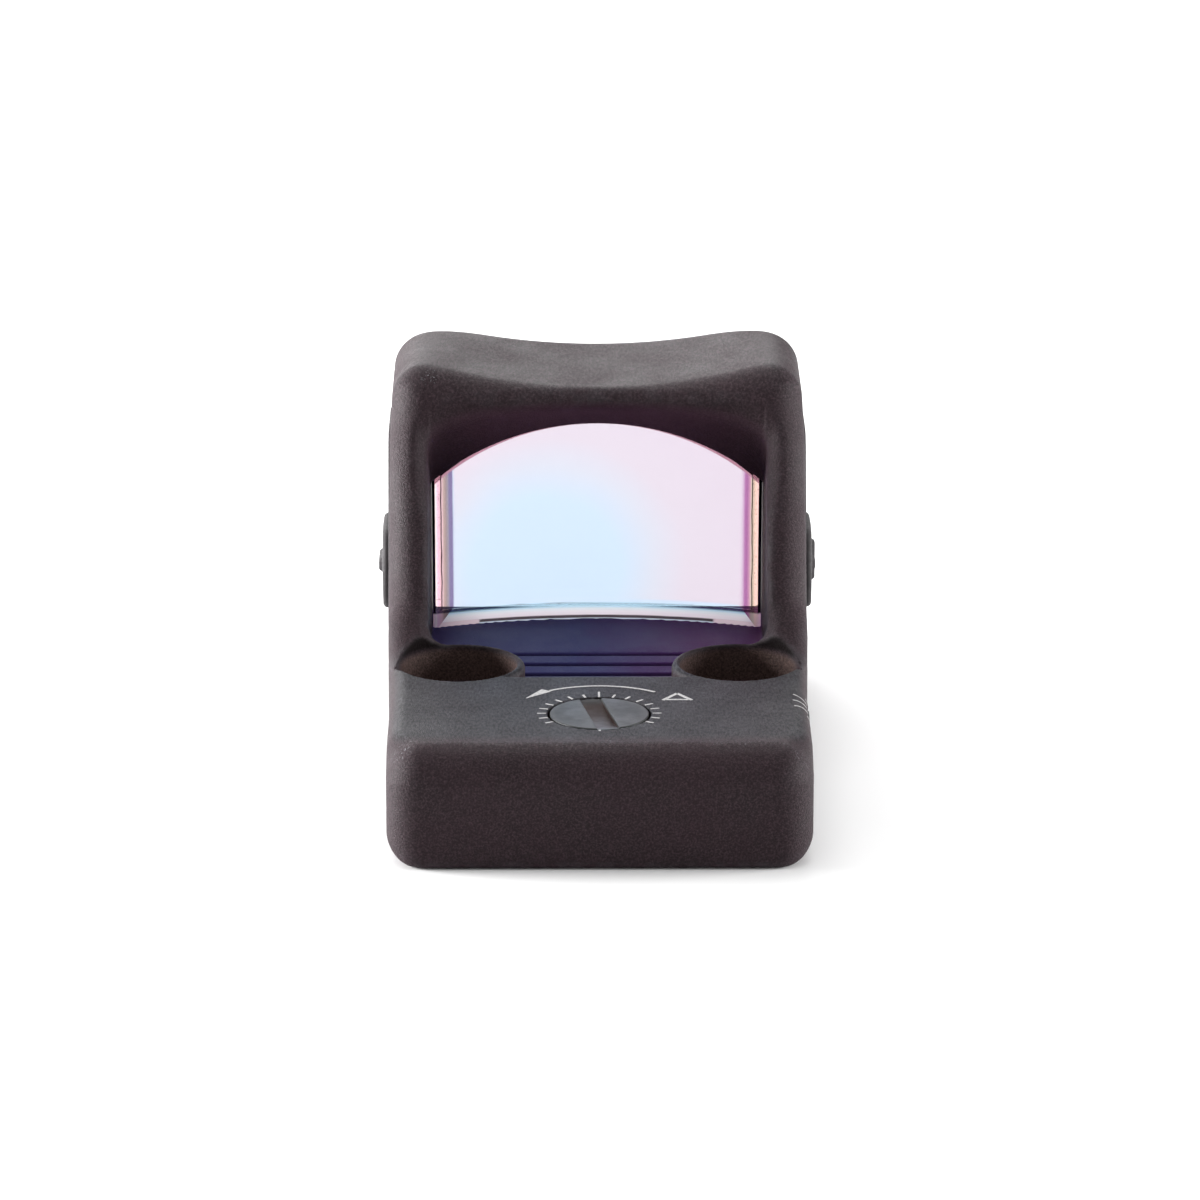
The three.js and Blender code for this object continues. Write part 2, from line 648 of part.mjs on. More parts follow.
// --- What the adjusters move --------------------------------------------------------------------------

const NUT_Z = [3, 4.2];
add('elevation_nut', cut(
  join(
    box([-2.5, 2.5], [ELEVATION_Y - 2.2, ELEVATION_Y + 2.2], NUT_Z),
    box([-1, 1], [ELEVATION_Y + 2, -8.7], [NUT_Z[0], NUT_Z[0] + 0.8]),
  ),
  cylinderZ([0, ELEVATION_Y], [2, 5], THREAD_R + 0.05),
), 'brass');

const EMITTER_HALF_WIDTH = 2.3;
const EMITTER_Y = [-9.8, -7.3];
add('emitter_block', cut(
  box([-EMITTER_HALF_WIDTH, EMITTER_HALF_WIDTH], EMITTER_Y, [2.2, 6.6]),
  box([-3, 3], [-10, -8.6], [NUT_Z[0] - 0.05, NUT_Z[0] + 0.85]),
  box([-0.6, 0.6], [-7.6, -7], [5.6, 6.8]),
), 'blackPlastic');
add('led', box([-0.5, 0.5], [-7.55, -7.2], [5.7, 6.55]), 'clearEpoxy');

const cheeks = [-1, 1].map((side) => {
  const xs = [EMITTER_HALF_WIDTH + 0.05, 3.3].map((x) => side * x).sort((a, b) => a - b);
  return box(xs, [EMITTER_Y[0], -7.4], [0.95, 5.8]);
});
add('windage_carriage', cut(
  join(
    ...cheeks,
    box([-3.2, 3.2], [EMITTER_Y[0], -7.4], [0.95, 1.6]),
    box([3.2, 6.2], [WINDAGE_Y - 1.8, -8.4], [2.6, 5.8]),
  ),
  cylinderX([WINDAGE_Y, WINDAGE_Z], [2, 8], THREAD_R + 0.05),
), 'brass');

const elevationSpring = coilSpring(1.9, 0.14, 2.4, 4).translate(0, ELEVATION_Y, PLATE_THICKNESS + 0.05);
add('elevation_spring', solid(elevationSpring), 'steel');
const windageSpring = coilSpring(1, 0.13, 4.5, 7).rotateY(-Math.PI / 2).translate(-3.4, -9.4, WINDAGE_Z);
add('windage_spring', solid(windageSpring), 'steel');

// --- Buttons and side plates --------------------------------------------------------------------------

function plusOrMinus(side) {
  const xs = side > 0 ? [BUTTON_FACE_X - 0.2, BUTTON_MARK_X] : [-BUTTON_MARK_X, -BUTTON_FACE_X + 0.2];
  const bar = box(xs, [BUTTON_Y - 1.4, BUTTON_Y + 1.4], [BUTTON_Z - 0.45, BUTTON_Z + 0.45]);
  const post = box(xs, [BUTTON_Y - 0.45, BUTTON_Y + 0.45], [BUTTON_Z - 1.4, BUTTON_Z + 1.4]);
  return side > 0 ? join(bar, post) : bar;
}

for (const [side, name] of [[-1, 'left'], [1, 'right']]) {
  const at = (low, high) => (side > 0 ? [low, high] : [-high, -low]);
  const centre = [BUTTON_Y, BUTTON_Z];
  const plateInner = SIDE_PLATE_X - SIDE_PLATE_THICKNESS;
  add(`${name}_side_plate`, cut(
    prismX(sidePlateOutline(0), at(plateInner, SIDE_PLATE_X)),
    prismX(oblong(centre, BUTTON_LENGTH + 0.3, BUTTON_HEIGHT + 0.3), at(10, 16)),
  ), 'anodised');
  const flange = oblong(centre, BUTTON_LENGTH + 2 * BUTTON_FLANGE, BUTTON_HEIGHT + 2 * BUTTON_FLANGE);
  const brow = oblong(centre, BUTTON_LENGTH - 0.6, BUTTON_HEIGHT - 0.6);
  add(`${name}_button`, join(
    prismX(flange, at(...BUTTON_FLANGE_XS)),
    prismX(oblong(centre, BUTTON_LENGTH, BUTTON_HEIGHT), at(13.2, BUTTON_FACE_X - 0.2)),
    prismX(brow, at(14, BUTTON_FACE_X)),
    plusOrMinus(side),
  ), 'rubber');
  add(`${name}_switch`, cylinderX(centre, at(...SWITCH_XS), 2.2, 20), 'steel');
}

// --- Board, battery and contacts ----------------------------------------------------------------------

const BOARD_Z = [1, 1.6];
const boardOutline = rounded([
  [-12, -19.6, 0.5], [-4.4, -19.6, 0.5], [-4.4, -6.9, 0], [-2.4, -6.9, 0.3],
  [-2.4, -2.4, 0.3], [-6.9, -2.4, 0.3], [-6.9, -8.5, 0], [-12, -8.5, 0.5],
]);
const boardNotch = cylinderZ([-REAR_SCREW[0], REAR_SCREW[1]], [0, 3], 1.7, 16);
add('circuit_board', cut(prismZ(boardOutline, BOARD_Z), boardNotch), 'board');
add('driver_chip', box([-11, -8.4], [-15.6, -13], [BOARD_Z[1] + 0.02, 2]), 'blackPlastic');

const batteryTop = BATTERY_BOTTOM_Z + BATTERY_THICKNESS;
add('battery', join(
  cylinderZ([0, BATTERY_Y], [BATTERY_BOTTOM_Z, batteryTop - 0.25], BATTERY_R, 48),
  cylinderZ([0, BATTERY_Y], [batteryTop - 1, batteryTop], BATTERY_R - 1.3, 48),
), 'steel');

const tailZ = [BOARD_Z[1] + 0.05, BOARD_Z[1] + 0.2];
add('battery_contact_negative', join(
  box([-4.4, -2.6], [-0.35, 12.5], [4.12, 4.27]),
  box([-4.4, -2.6], [-0.35, -0.2], [tailZ[0], 4.27]),
  box([-4.4, -2.6], [-4.6, -0.2], tailZ),
), 'gold');
add('battery_contact_positive', join(
  box([-6.6, -4.9], [1.2, 1.35], [tailZ[0], 3.2]),
  box([-6.6, -4.9], [-4.6, 1.35], tailZ),
), 'gold');

// --- Underside ----------------------------------------------------------------------------------------

const screwPlaces = [
  [-REAR_SCREW[0], REAR_SCREW[1]],
  REAR_SCREW,
  [-FRONT_SCREW[0], FRONT_SCREW[1]],
  FRONT_SCREW,
];
const HEAD_SEAT_Z = 0.32;
const screwHoles = screwPlaces.flatMap((place) => [
  cylinderZ(place, [-1, HEAD_SEAT_Z], PLATE_SCREW_HEAD_R + 0.12, 16),
  cylinderZ(place, [-1, 2], PLATE_SCREW_R + 0.1, 12),
]);
add('bottom_plate', cut(prismZ(coverOutline(0), [0, PLATE_THICKNESS]), ...screwHoles), 'steel');
add('base_gasket', cut(
  prismZ(coverOutline(-0.1), [PLATE_THICKNESS + 0.02, PLATE_RECESS - 0.02]),
  prismZ(coverOutline(-1.05), [0, 2]),
), 'rubber');
screwPlaces.forEach(([x, y], i) => {
  const profile = [
    [0, 0.02],
    [PLATE_SCREW_HEAD_R - 0.1, 0.02],
    [PLATE_SCREW_HEAD_R, 0.12],
    [PLATE_SCREW_HEAD_R, 0.3],
    [PLATE_SCREW_R, 0.3],
    [PLATE_SCREW_R, 3.1],
    [0, 3.1],
  ];
  const recess = cylinderZ([x, y], [-1, 0.2], 0.45, 6);
  add(`plate_screw_${i + 1}`, cut(solid(turnedZ(profile, 16).translate(x, y, 0)), recess), 'blackSteel');
});

export default sight;
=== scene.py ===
"""Looks of an open mini reflex sight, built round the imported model.

Lengths are millimetres, apart from those of the material nodes, the floor, the lights and the camera,
which are metres.
"""

import json
import math

import bpy
import bmesh
import numpy as np
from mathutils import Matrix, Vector


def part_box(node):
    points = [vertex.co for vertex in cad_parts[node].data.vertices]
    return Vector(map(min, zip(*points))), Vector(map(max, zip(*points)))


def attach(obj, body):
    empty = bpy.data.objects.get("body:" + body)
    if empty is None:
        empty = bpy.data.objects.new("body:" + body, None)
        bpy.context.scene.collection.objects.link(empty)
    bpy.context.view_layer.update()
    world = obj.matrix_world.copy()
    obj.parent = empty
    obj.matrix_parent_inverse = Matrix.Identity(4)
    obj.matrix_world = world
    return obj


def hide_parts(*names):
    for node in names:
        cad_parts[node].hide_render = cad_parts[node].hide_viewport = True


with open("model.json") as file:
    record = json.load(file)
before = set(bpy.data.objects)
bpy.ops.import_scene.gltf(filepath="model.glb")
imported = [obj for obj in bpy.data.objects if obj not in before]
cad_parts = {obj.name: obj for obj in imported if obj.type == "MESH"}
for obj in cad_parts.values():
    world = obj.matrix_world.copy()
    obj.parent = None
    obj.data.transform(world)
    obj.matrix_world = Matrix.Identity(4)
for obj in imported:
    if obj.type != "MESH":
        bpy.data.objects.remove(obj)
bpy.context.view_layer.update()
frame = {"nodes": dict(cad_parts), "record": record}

MM = 0.001
nodes_of = frame["nodes"]
rng = np.random.default_rng(7)

# --- Sizes of the housing -------------------------------------------------------------------------

HALF_LENGTH = 22.5
HEIGHT = 25.0
SIDE_X = 13.95
HOOD_SPREAD = 0.35
DECK_Z = 8.0
SLOPE_NORMAL = (-0.8665, 0.4993)
SLOPE_START = (1.6, 9.9)
FRONT_NORMAL = (0.99938, 0.0353)
FRONT_TOP = (21.9, 23.5)
SCOOP_DEPTH = 1.2
SCOOP_TILT = 0.0559
SCOOP_R = 47.4
SCOOP_HALF_WIDTH = 10.6
WINDOW_HALF = 11.6
WIDE_OUTLINE_Z = 22.6
WIDE_OUTLINE_R = 3.4
DISH_START_Y = 6.0
DISH_LENGTH = 6.3
ARCH_Z = 2.68
ARCH_R = 17.797
BAY_FLOOR_Z = 5.3
BAY_MOUTH_Y = -5.9
GROOVE_YS = (2.9, 5.15, 7.45)
GROOVE_HALF_WIDTH = 0.3
POCKET = (9.45, -3.0)
POCKET_R = 3.97
POCKET_RING_R = 4.5
POCKET_SEAT_Z = 4.0
MOUNT_HOLE_R = 1.8
DIAL = (0.0, -14.1)
DIAL_R = 3.275
WINDAGE = (-11.3, 4.2)
WINDAGE_R = 3.0
HEAD_THICKNESS = 1.35
SLOT_HALF_WIDTH = 0.725
SLOT_DEPTH = 0.42
SHAFT_R = 1.5
SHAFT_HOLE_R = 1.65
O_RING_SEAT_R = 2.25
RIDGE_R = 1.21
RIDGE_STEP = 0.4
LENS_CENTRE = (-15.811, 8.212)
LENS_REAR_R = 32.0
LENS_FRONT_R = 34.0
LENS_SEAT_RS = (31.88, 34.7)
BUTTON = (13.0, 10.5)
BUTTON_SIZE = (9.2, 5.6)
BUTTON_FLANGE_XS = (12.8, 13.3)
BUTTON_FACE_X = 14.95
BUTTON_MARK = (1.4, 0.45)
BUTTON_MARK_X = 15.2
SILL_Y = 18.75
SILL_FALL = 0.3067
PLATE_CORNERS = [(6.2, 5.9), (20.6, 5.9), (19.4, 20.2), (11.2, 20.2)]
PLATE_CORNER_R = 1.8
PLATE_XS = (13.5, 14.45)
COVER_SCREWS = ((7, -18.6), (9.8, 19.2))
BATTERY_ROOM = (10.4, 10.15)


# --- Distances: negative inside, in millimetres ---------------------------------------------------


def join(a, b, r):
    """Union with a hollow fillet of radius r."""
    return np.maximum(r, np.minimum(a, b)) - np.hypot(np.maximum(r - a, 0), np.maximum(r - b, 0))


def meet(a, b, r):
    """What a and b share, with the edge between them rounded to radius r."""
    return np.minimum(-r, np.maximum(a, b)) + np.hypot(np.maximum(r + a, 0), np.maximum(r + b, 0))


def cut(a, b, r):
    return meet(a, -b, r)


def soft_min(a, b, k):
    h = np.clip(0.5 + 0.5 * (b - a) / k, 0, 1)
    return b + (a - b) * h - k * h * (1 - h)


def ramp(value, start, end):
    t = np.clip((value - start) / (end - start), 0, 1)
    return t * t * (3 - 2 * t)


def block(x, y, z, xs, ys, zs):
    across = np.maximum(np.maximum(xs[0] - x, x - xs[1]), np.maximum(ys[0] - y, y - ys[1]))
    return np.maximum(across, np.maximum(zs[0] - z, z - zs[1]))


def rectangle(a, b, half_a, half_b, r):
    qa, qb = np.abs(a) - half_a + r, np.abs(b) - half_b + r
    return np.hypot(np.maximum(qa, 0), np.maximum(qb, 0)) + np.minimum(np.maximum(qa, qb), 0) - r


def stadium(a, b, length, height):
    reach = (length - height) / 2
    return np.hypot(np.maximum(np.abs(a) - reach, 0), b) - height / 2


def rounded_polygon(a, b, corners, r):
    """Distance to a convex polygon whose corners, given counterclockwise, are rounded to radius r."""
    points = np.array(corners, float)
    along = np.roll(points, -1, 0) - points
    along /= np.linalg.norm(along, axis=1)[:, None]
    out = np.stack([along[:, 1], -along[:, 0]], 1)
    level = (points * out).sum(1) - r
    inner = [
        np.linalg.solve(np.array([out[i - 1], out[i]]), np.array([level[i - 1], level[i]]))
        for i in range(len(points))
    ]
    planes = [n[0] * a + n[1] * b - l for n, l in zip(out, level)]
    deepest = planes[0]
    for p in planes[1:]:
        deepest = np.maximum(deepest, p)
    nearest = None
    for i, start in enumerate(inner):
        end = inner[(i + 1) % len(inner)]
        side = end - start
        t = np.clip(((a - start[0]) * side[0] + (b - start[1]) * side[1]) / (side @ side), 0, 1)
        gap = np.hypot(a - start[0] - t * side[0], b - start[1] - t * side[1])
        nearest = gap if nearest is None else np.minimum(nearest, gap)
    return np.where(deepest > 0, nearest, deepest) - r


# --- Housing --------------------------------------------------------------------------------------


def half_width(y):
    return SIDE_X + HOOD_SPREAD * np.clip((y + 8) / 9, 0, 1)


def plan(x, y, z):
    r = np.where(y < 0, 2.3, 3.0)
    half = half_width(y) - 0.05 * np.maximum(z - 20, 0)
    qx, qy = np.abs(x) - half + r, np.abs(y) - HALF_LENGTH + r
    return np.hypot(np.maximum(qx, 0), np.maximum(qy, 0)) + np.minimum(np.maximum(qx, qy), 0) - r


def window_top(x, y):
    """Height of the opening's roof and how steep it is: a wide outline that falls to an arch."""
    ax = np.minimum(np.abs(x), WINDOW_HALF - 0.02)
    corner = np.maximum(ax - WINDOW_HALF + WIDE_OUTLINE_R, 0)
    corner_rise = np.sqrt(WIDE_OUTLINE_R**2 - corner**2)
    wide = WIDE_OUTLINE_Z + corner_rise
    arch = ARCH_Z + np.sqrt(ARCH_R**2 - ax**2)
    t = (y - DISH_START_Y) / DISH_LENGTH
    t = soft_min(t, 1.0, 0.05)
    t = -soft_min(-t, 0.0, 0.05)
    top = wide + (arch - wide) * t
    steep_y = (arch - wide) / DISH_LENGTH * (ramp(y, 5.8, 6.2) - ramp(y, 12.1, 12.5))
    steep_x = (1 - t) * np.minimum(corner / corner_rise, 3) + t * ax / (arch - ARCH_Z)
    return top, 1 / np.sqrt(1 + steep_x**2 + steep_y**2)


def window(x, y, z):
    top, lean = window_top(x, y)
    return meet(np.abs(x) - WINDOW_HALF, (z - top) * lean, 0.25)


def hood_top(x, y, z):
    scoop = SCOOP_DEPTH - SCOOP_TILT * (y - 16) - x**2 / (2 * SCOOP_R)
    scoop = -soft_min(-scoop, 0.0, 0.3)
    steep = np.clip(x, -SCOOP_HALF_WIDTH, SCOOP_HALF_WIDTH) / SCOOP_R
    return (z - HEIGHT + scoop) / np.sqrt(1 + steep**2)


def cover_outline(x, y, grow):
    rear = rectangle(x, y + 14.15, 12.2 + grow, 6.75 + grow, 1.2)
    waist = rectangle(x, y + 3, 6.6 + grow, 6, 0.1)
    front = rectangle(x, y - 11.35, 11.9 + grow, 10.25 + grow, 1.6)
    return np.minimum(np.minimum(rear, waist), front)


def inside_rooms(x, y, z):
    """Hollows that the mechanism, the board and the battery need. All are under the cover."""
    mechanism = block(x, y, z, (-8, 11.2), (-20, -8.1), (0.6, 6))
    board = block(x, y, z, (-12.3, 0), (-20, -8.1), (0.6, 2.1))
    screw_boss = np.hypot(np.abs(x) - COVER_SCREWS[0][0], y - COVER_SCREWS[0][1]) - 1.5
    dial_boss = np.maximum(np.hypot(x, y - DIAL[1]) - 2.4, 5.6 - z)
    rooms = np.maximum(np.minimum(mechanism, board), -np.minimum(screw_boss, dial_boss))
    for xs, ys, zs in (
        ((-4.3, 4.3), (-10.5, -7.1), (0.6, 7.3)),
        ((10.1, 11.2), (-13.9, -8.7), (2, 6.6)),
        ((-7.2, -2.2), (-8.3, 2), (0.6, 2.1)),
        ((-7.2, -4.6), (-0.6, 4), (0.6, 3.4)),
        ((-4.6, -2.4), (-0.6, 14), (0.6, 4.45)),
    ):
        rooms = np.minimum(rooms, block(x, y, z, xs, ys, zs))
    middle, r = BATTERY_ROOM
    battery = np.maximum(np.hypot(x, y - middle) - r, np.maximum(0.6 - z, z - 4.15))
    rooms = np.minimum(rooms, battery)
    return np.minimum(rooms, np.maximum(cover_outline(x, y, 0.1), z - 0.8))


def deck_and_hood(x, y, z, pocket_r):
    """The low deck with its bay, and the hood's posts, which rise from it in a hollow curve."""
    ax = np.abs(x)
    bay_plan = meet(meet(ax - WINDOW_HALF, POCKET_RING_R - pocket_r, 0.9), BAY_MOUTH_Y - y, 0.15)
    sill = BAY_FLOOR_Z - SILL_FALL * np.maximum(y - SILL_Y, 0)
    base = cut(z - DECK_Z, meet(bay_plan, sill - z, 0.3), 0.42)
    slope = SLOPE_NORMAL[0] * (y - SLOPE_START[0]) + SLOPE_NORMAL[1] * (z - SLOPE_START[1])
    posts = cut(slope, window(x, y, z), 0.5 + 0.9 * ramp(z, 14, 19))
    outer = ramp(ax, 11.2, 12.4)
    foot = (1.5 + 1.8 * outer) * (1 - ramp(y - 1.4 * outer, 0.9, 2.3)) + 0.03
    return join(base, posts, foot)


def outer_edges(d, x, y, z):
    """The body cut to its plan, rounded more at the rear and the top, with its underside flat."""
    side_x, side_y = np.abs(x) - half_width(y), np.abs(y) - HALF_LENGTH
    rear = 1.4 * ramp(-y, 17.5, 21)
    edge = 1.2 + rear + 0.7 * ramp(z, 8.5, 11) + 0.3 * ramp(z, 19, 23.6)
    d = meet(d, plan(x, y, z), edge)
    under = 0.5 + 1.4 * ramp(side_x - side_y, -2.3, 2.3)
    return meet(d, -z, under)


def lens_seat(x, y, z):
    from_centre = np.sqrt(x**2 + (y - LENS_CENTRE[0]) ** 2 + (z - LENS_CENTRE[1]) ** 2)
    shell = np.maximum(LENS_SEAT_RS[0] - from_centre, from_centre - LENS_SEAT_RS[1])
    seat = np.maximum(shell, np.maximum(4.65 - z, np.abs(x) - WINDOW_HALF))
    return np.maximum(seat, np.maximum(8 - y, z - 7))


def cut_adjusters(d, x, y, z):
    """The stepped holes of the two dials: head, O ring and shaft."""
    r = np.hypot(x, y - DIAL[1])
    d = cut(d, np.maximum(r - DIAL_R - 0.15, 6.55 - z), 0.06)
    d = np.maximum(d, -np.maximum(r - O_RING_SEAT_R, np.maximum(5.95 - z, z - 8)))
    d = np.maximum(d, -np.maximum(r - SHAFT_HOLE_R, np.maximum(5 - z, z - 8)))
    r = np.hypot(y - WINDAGE[0], z - WINDAGE[1])
    d = cut(d, np.maximum(r - WINDAGE_R - 0.1, 12.5 - x), 0.1)
    d = np.maximum(d, -np.maximum(r - O_RING_SEAT_R, 11.9 - x))
    return np.maximum(d, -np.maximum(r - SHAFT_HOLE_R, 10.5 - x))


def cut_sides(d, x, y, z):
    """The recesses of the side plates and the rooms of the buttons' flanges behind them."""
    ax = np.abs(x)
    plate = rounded_polygon(y, z, PLATE_CORNERS, PLATE_CORNER_R) - 0.1
    d = cut(d, np.maximum(plate, 13.4 - ax), 0.1)
    flange = stadium(y - BUTTON[0], z - BUTTON[1], BUTTON_SIZE[0] + 1.9, BUTTON_SIZE[1] + 1.9)
    return np.maximum(d, -np.maximum(flange, 11.95 - ax))


def housing(x, y, z):
    ax = np.abs(x)
    pocket_r = np.hypot(ax - POCKET[0], y - POCKET[1])
    d = deck_and_hood(x, y, z, pocket_r)
    d = cut(d, meet(pocket_r - POCKET_R, POCKET_SEAT_Z - z, 0.1), 0.2)
    d = meet(d, hood_top(x, y, z), 1.45)
    front = FRONT_NORMAL[0] * (y - FRONT_TOP[0]) + FRONT_NORMAL[1] * (z - FRONT_TOP[1])
    d = meet(d, front, 0.8)
    d = outer_edges(d, x, y, z)
    d = cut(d, np.maximum(pocket_r - MOUNT_HOLE_R, z - 5), 0.1)
    d = np.maximum(d, -inside_rooms(x, y, z))
    for middle in GROOVE_YS:
        ys = (middle - GROOVE_HALF_WIDTH, middle + GROOVE_HALF_WIDTH)
        d = cut(d, block(x, y, z, (-WINDOW_HALF, WINDOW_HALF), ys, (4.9, 5.9)), 0.08)
    d = np.maximum(d, -lens_seat(x, y, z))
    d = cut_adjusters(d, x, y, z)
    d = cut_sides(d, x, y, z)
    d = np.maximum(d, -block(x, y, z, (-3.2, 3.2), (-6.9, -4.5), (5.31, 7.4)))
    d = np.maximum(d, -block(x, y, z, (-2.6, 2.6), (-7.2, -6.5), (5.5, 7.1)))
    for across, along in COVER_SCREWS:
        hole = np.hypot(ax - across, y - along) - 0.75
        d = np.maximum(d, -np.maximum(hole, z - 3.4))
    return d


# --- Other carved pieces --------------------------------------------------------------------------


def screw(across, along, down, head_r, shaft_end, tip, face, turn):
    """A slotted screw: down is measured along its axis, and the face of its head is at `face`."""
    r = np.hypot(across, along)
    head = meet(meet(r - head_r, down - face, 0.07), face - HEAD_THICKNESS - down, 0.05)
    shaft = meet(np.maximum(r - SHAFT_R, shaft_end - down), down - face + 1, 0.02)
    ridge = 0.04 * np.sin(2 * np.pi * down / RIDGE_STEP + np.arctan2(across, along))
    thread = np.maximum(meet(r - RIDGE_R - ridge, tip - down, 0.15), down - face + 1)
    d = np.minimum(np.minimum(head, shaft), thread)
    side = across * math.cos(turn) + along * math.sin(turn)
    reach = along * math.cos(turn) - across * math.sin(turn)
    slot_floor = face - SLOT_DEPTH + 0.034 * reach**2
    return cut(d, np.maximum(np.abs(side) - SLOT_HALF_WIDTH, slot_floor - down), 0.03)


def elevation_screw(x, y, z):
    return screw(x, y - DIAL[1], z, DIAL_R, 4.9, 2.2, DECK_Z, math.radians(10.5))


def windage_screw(x, y, z):
    return screw(y - WINDAGE[0], z - WINDAGE[1], x, WINDAGE_R, 10.35, 3.6, SIDE_X, math.radians(-18))


def side_plate(side):
    def distance(x, y, z):
        face = side * x
        outline = rounded_polygon(y, z, PLATE_CORNERS, PLATE_CORNER_R)
        hole = stadium(y - BUTTON[0], z - BUTTON[1], BUTTON_SIZE[0] + 0.3, BUTTON_SIZE[1] + 0.3)
        return np.maximum(meet(cut(outline, hole, 0), face - PLATE_XS[1], 0.16), PLATE_XS[0] - face)

    return distance


def button(side):
    def distance(x, y, z):
        face, a, b = side * x, y - BUTTON[0], z - BUTTON[1]
        length, height = BUTTON_SIZE
        back, front = BUTTON_FLANGE_XS
        flange = stadium(a, b, length + 1.4, height + 1.4)
        flange = meet(flange, np.maximum(back - face, face - front), 0.08)
        crown = BUTTON_FACE_X - 0.006 * (a**2 + b**2)
        body = np.maximum(meet(stadium(a, b, length, height), face - crown, 0.3), back + 0.1 - face)
        half_long, half_short = BUTTON_MARK
        mark = rectangle(a, b, half_long, half_short, 0.25)
        if side > 0:
            mark = np.minimum(mark, rectangle(a, b, half_short, half_long, 0.25))
        mark = np.maximum(meet(mark, face - BUTTON_MARK_X, 0.2), 14 - face)
        return join(join(flange, body, 0.1), mark, 0.15)

    return distance


# --- Meshes from distances ------------------------------------------------------------------------

NET_MARGIN = 0.3
EDGE_REACH = 0.4


def slopes(distance, points, h):
    """The value and the gradient of a distance at some points."""
    at = points.T
    steps = np.eye(3) * h
    grad = [(distance(*(at + s[:, None])) - distance(*(at - s[:, None]))) / (2 * h) for s in steps]
    return distance(*at), np.stack(grad, 1)


def settle(distance, points, h, rounds, limit):
    """Moves points onto the surface along the gradient."""
    for _ in range(rounds):
        value, grad = slopes(distance, points, h)
        size = np.maximum((grad**2).sum(1), 0.25)
        move = -(value / size)[:, None] * grad
        length = np.maximum(np.linalg.norm(move, axis=1), 1e-9)
        points = points + move * np.minimum(1, limit / length)[:, None]
    return points


def net(distance, low, high, step):
    """Vertices and quads of a distance's zero surface, one vertex for each grid cell that it crosses."""
    axes = [np.arange(a - 2 * step, b + 3 * step, step) for a, b in zip(low, high)]
    field = distance(axes[0][:, None, None], axes[1][None, :, None], axes[2][None, None, :])
    field = np.ascontiguousarray(np.broadcast_to(field, [len(a) for a in axes]), np.float32)
    inside = field < 0
    cells, crossings = [], []
    for axis in range(3):
        first = [slice(None)] * 3
        second = [slice(None)] * 3
        first[axis], second[axis] = slice(None, -1), slice(1, None)
        at = np.argwhere(inside[tuple(first)] != inside[tuple(second)])
        up = at.copy()
        up[:, axis] += 1
        near, far = field[tuple(at.T)], field[tuple(up.T)]
        crossing = at.astype(float)
        crossing[:, axis] += near / (near - far)
        u, v = (axis + 1) % 3, (axis + 2) % 3
        ring = []
        for du, dv in ((0, 0), (1, 0), (1, 1), (0, 1)):
            cell = at.copy()
            cell[:, u] -= du
            cell[:, v] -= dv
            ring.append(np.ravel_multi_index(cell.T, field.shape))
        quad = np.stack(ring, 1)
        quad[near > 0] = quad[near > 0][:, ::-1]
        cells.append(quad)
        crossings.append(np.repeat(crossing, 4, 0))
    ids, faces = np.unique(np.concatenate(cells), return_inverse=True)
    where = np.concatenate(crossings)
    faces = faces.ravel()
    count = np.bincount(faces)[:, None]
    points = np.stack([np.bincount(faces, weights=where[:, k]) for k in range(3)], 1) / count
    origin = np.array([a[0] for a in axes])
    return origin + points * step, faces.reshape(-1, 4)


def mesh_of(name, points, faces):
    """A Blender mesh from numpy arrays of vertices in millimetres and faces of one size."""
    mesh = bpy.data.meshes.new(name)
    mesh.vertices.add(len(points))
    mesh.vertices.foreach_set("co", (points * MM).astype(np.float32).ravel())
    corners = faces.shape[1]
    mesh.loops.add(faces.size)
    mesh.loops.foreach_set("vertex_index", faces.astype(np.int32).ravel())
    mesh.polygons.add(len(faces))
    mesh.polygons.foreach_set("loop_start", np.arange(0, faces.size, corners, dtype=np.int32))
    mesh.update(calc_edges=True)
    mesh.validate()
    return mesh


def points_of(mesh):
    co = np.empty(len(mesh.vertices) * 3, np.float32)
    mesh.vertices.foreach_get("co", co)
    return co.reshape(-1, 3).astype(float) / MM


def place(obj, material, body, slot, *replaced):
    obj.data.materials.append(material)
    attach(obj, body)
    if replaced:
        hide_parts(*replaced)
    return obj


def linked(name, mesh):
    obj = bpy.data.objects.new(name, mesh)
    bpy.context.scene.collection.objects.link(obj)
    return obj


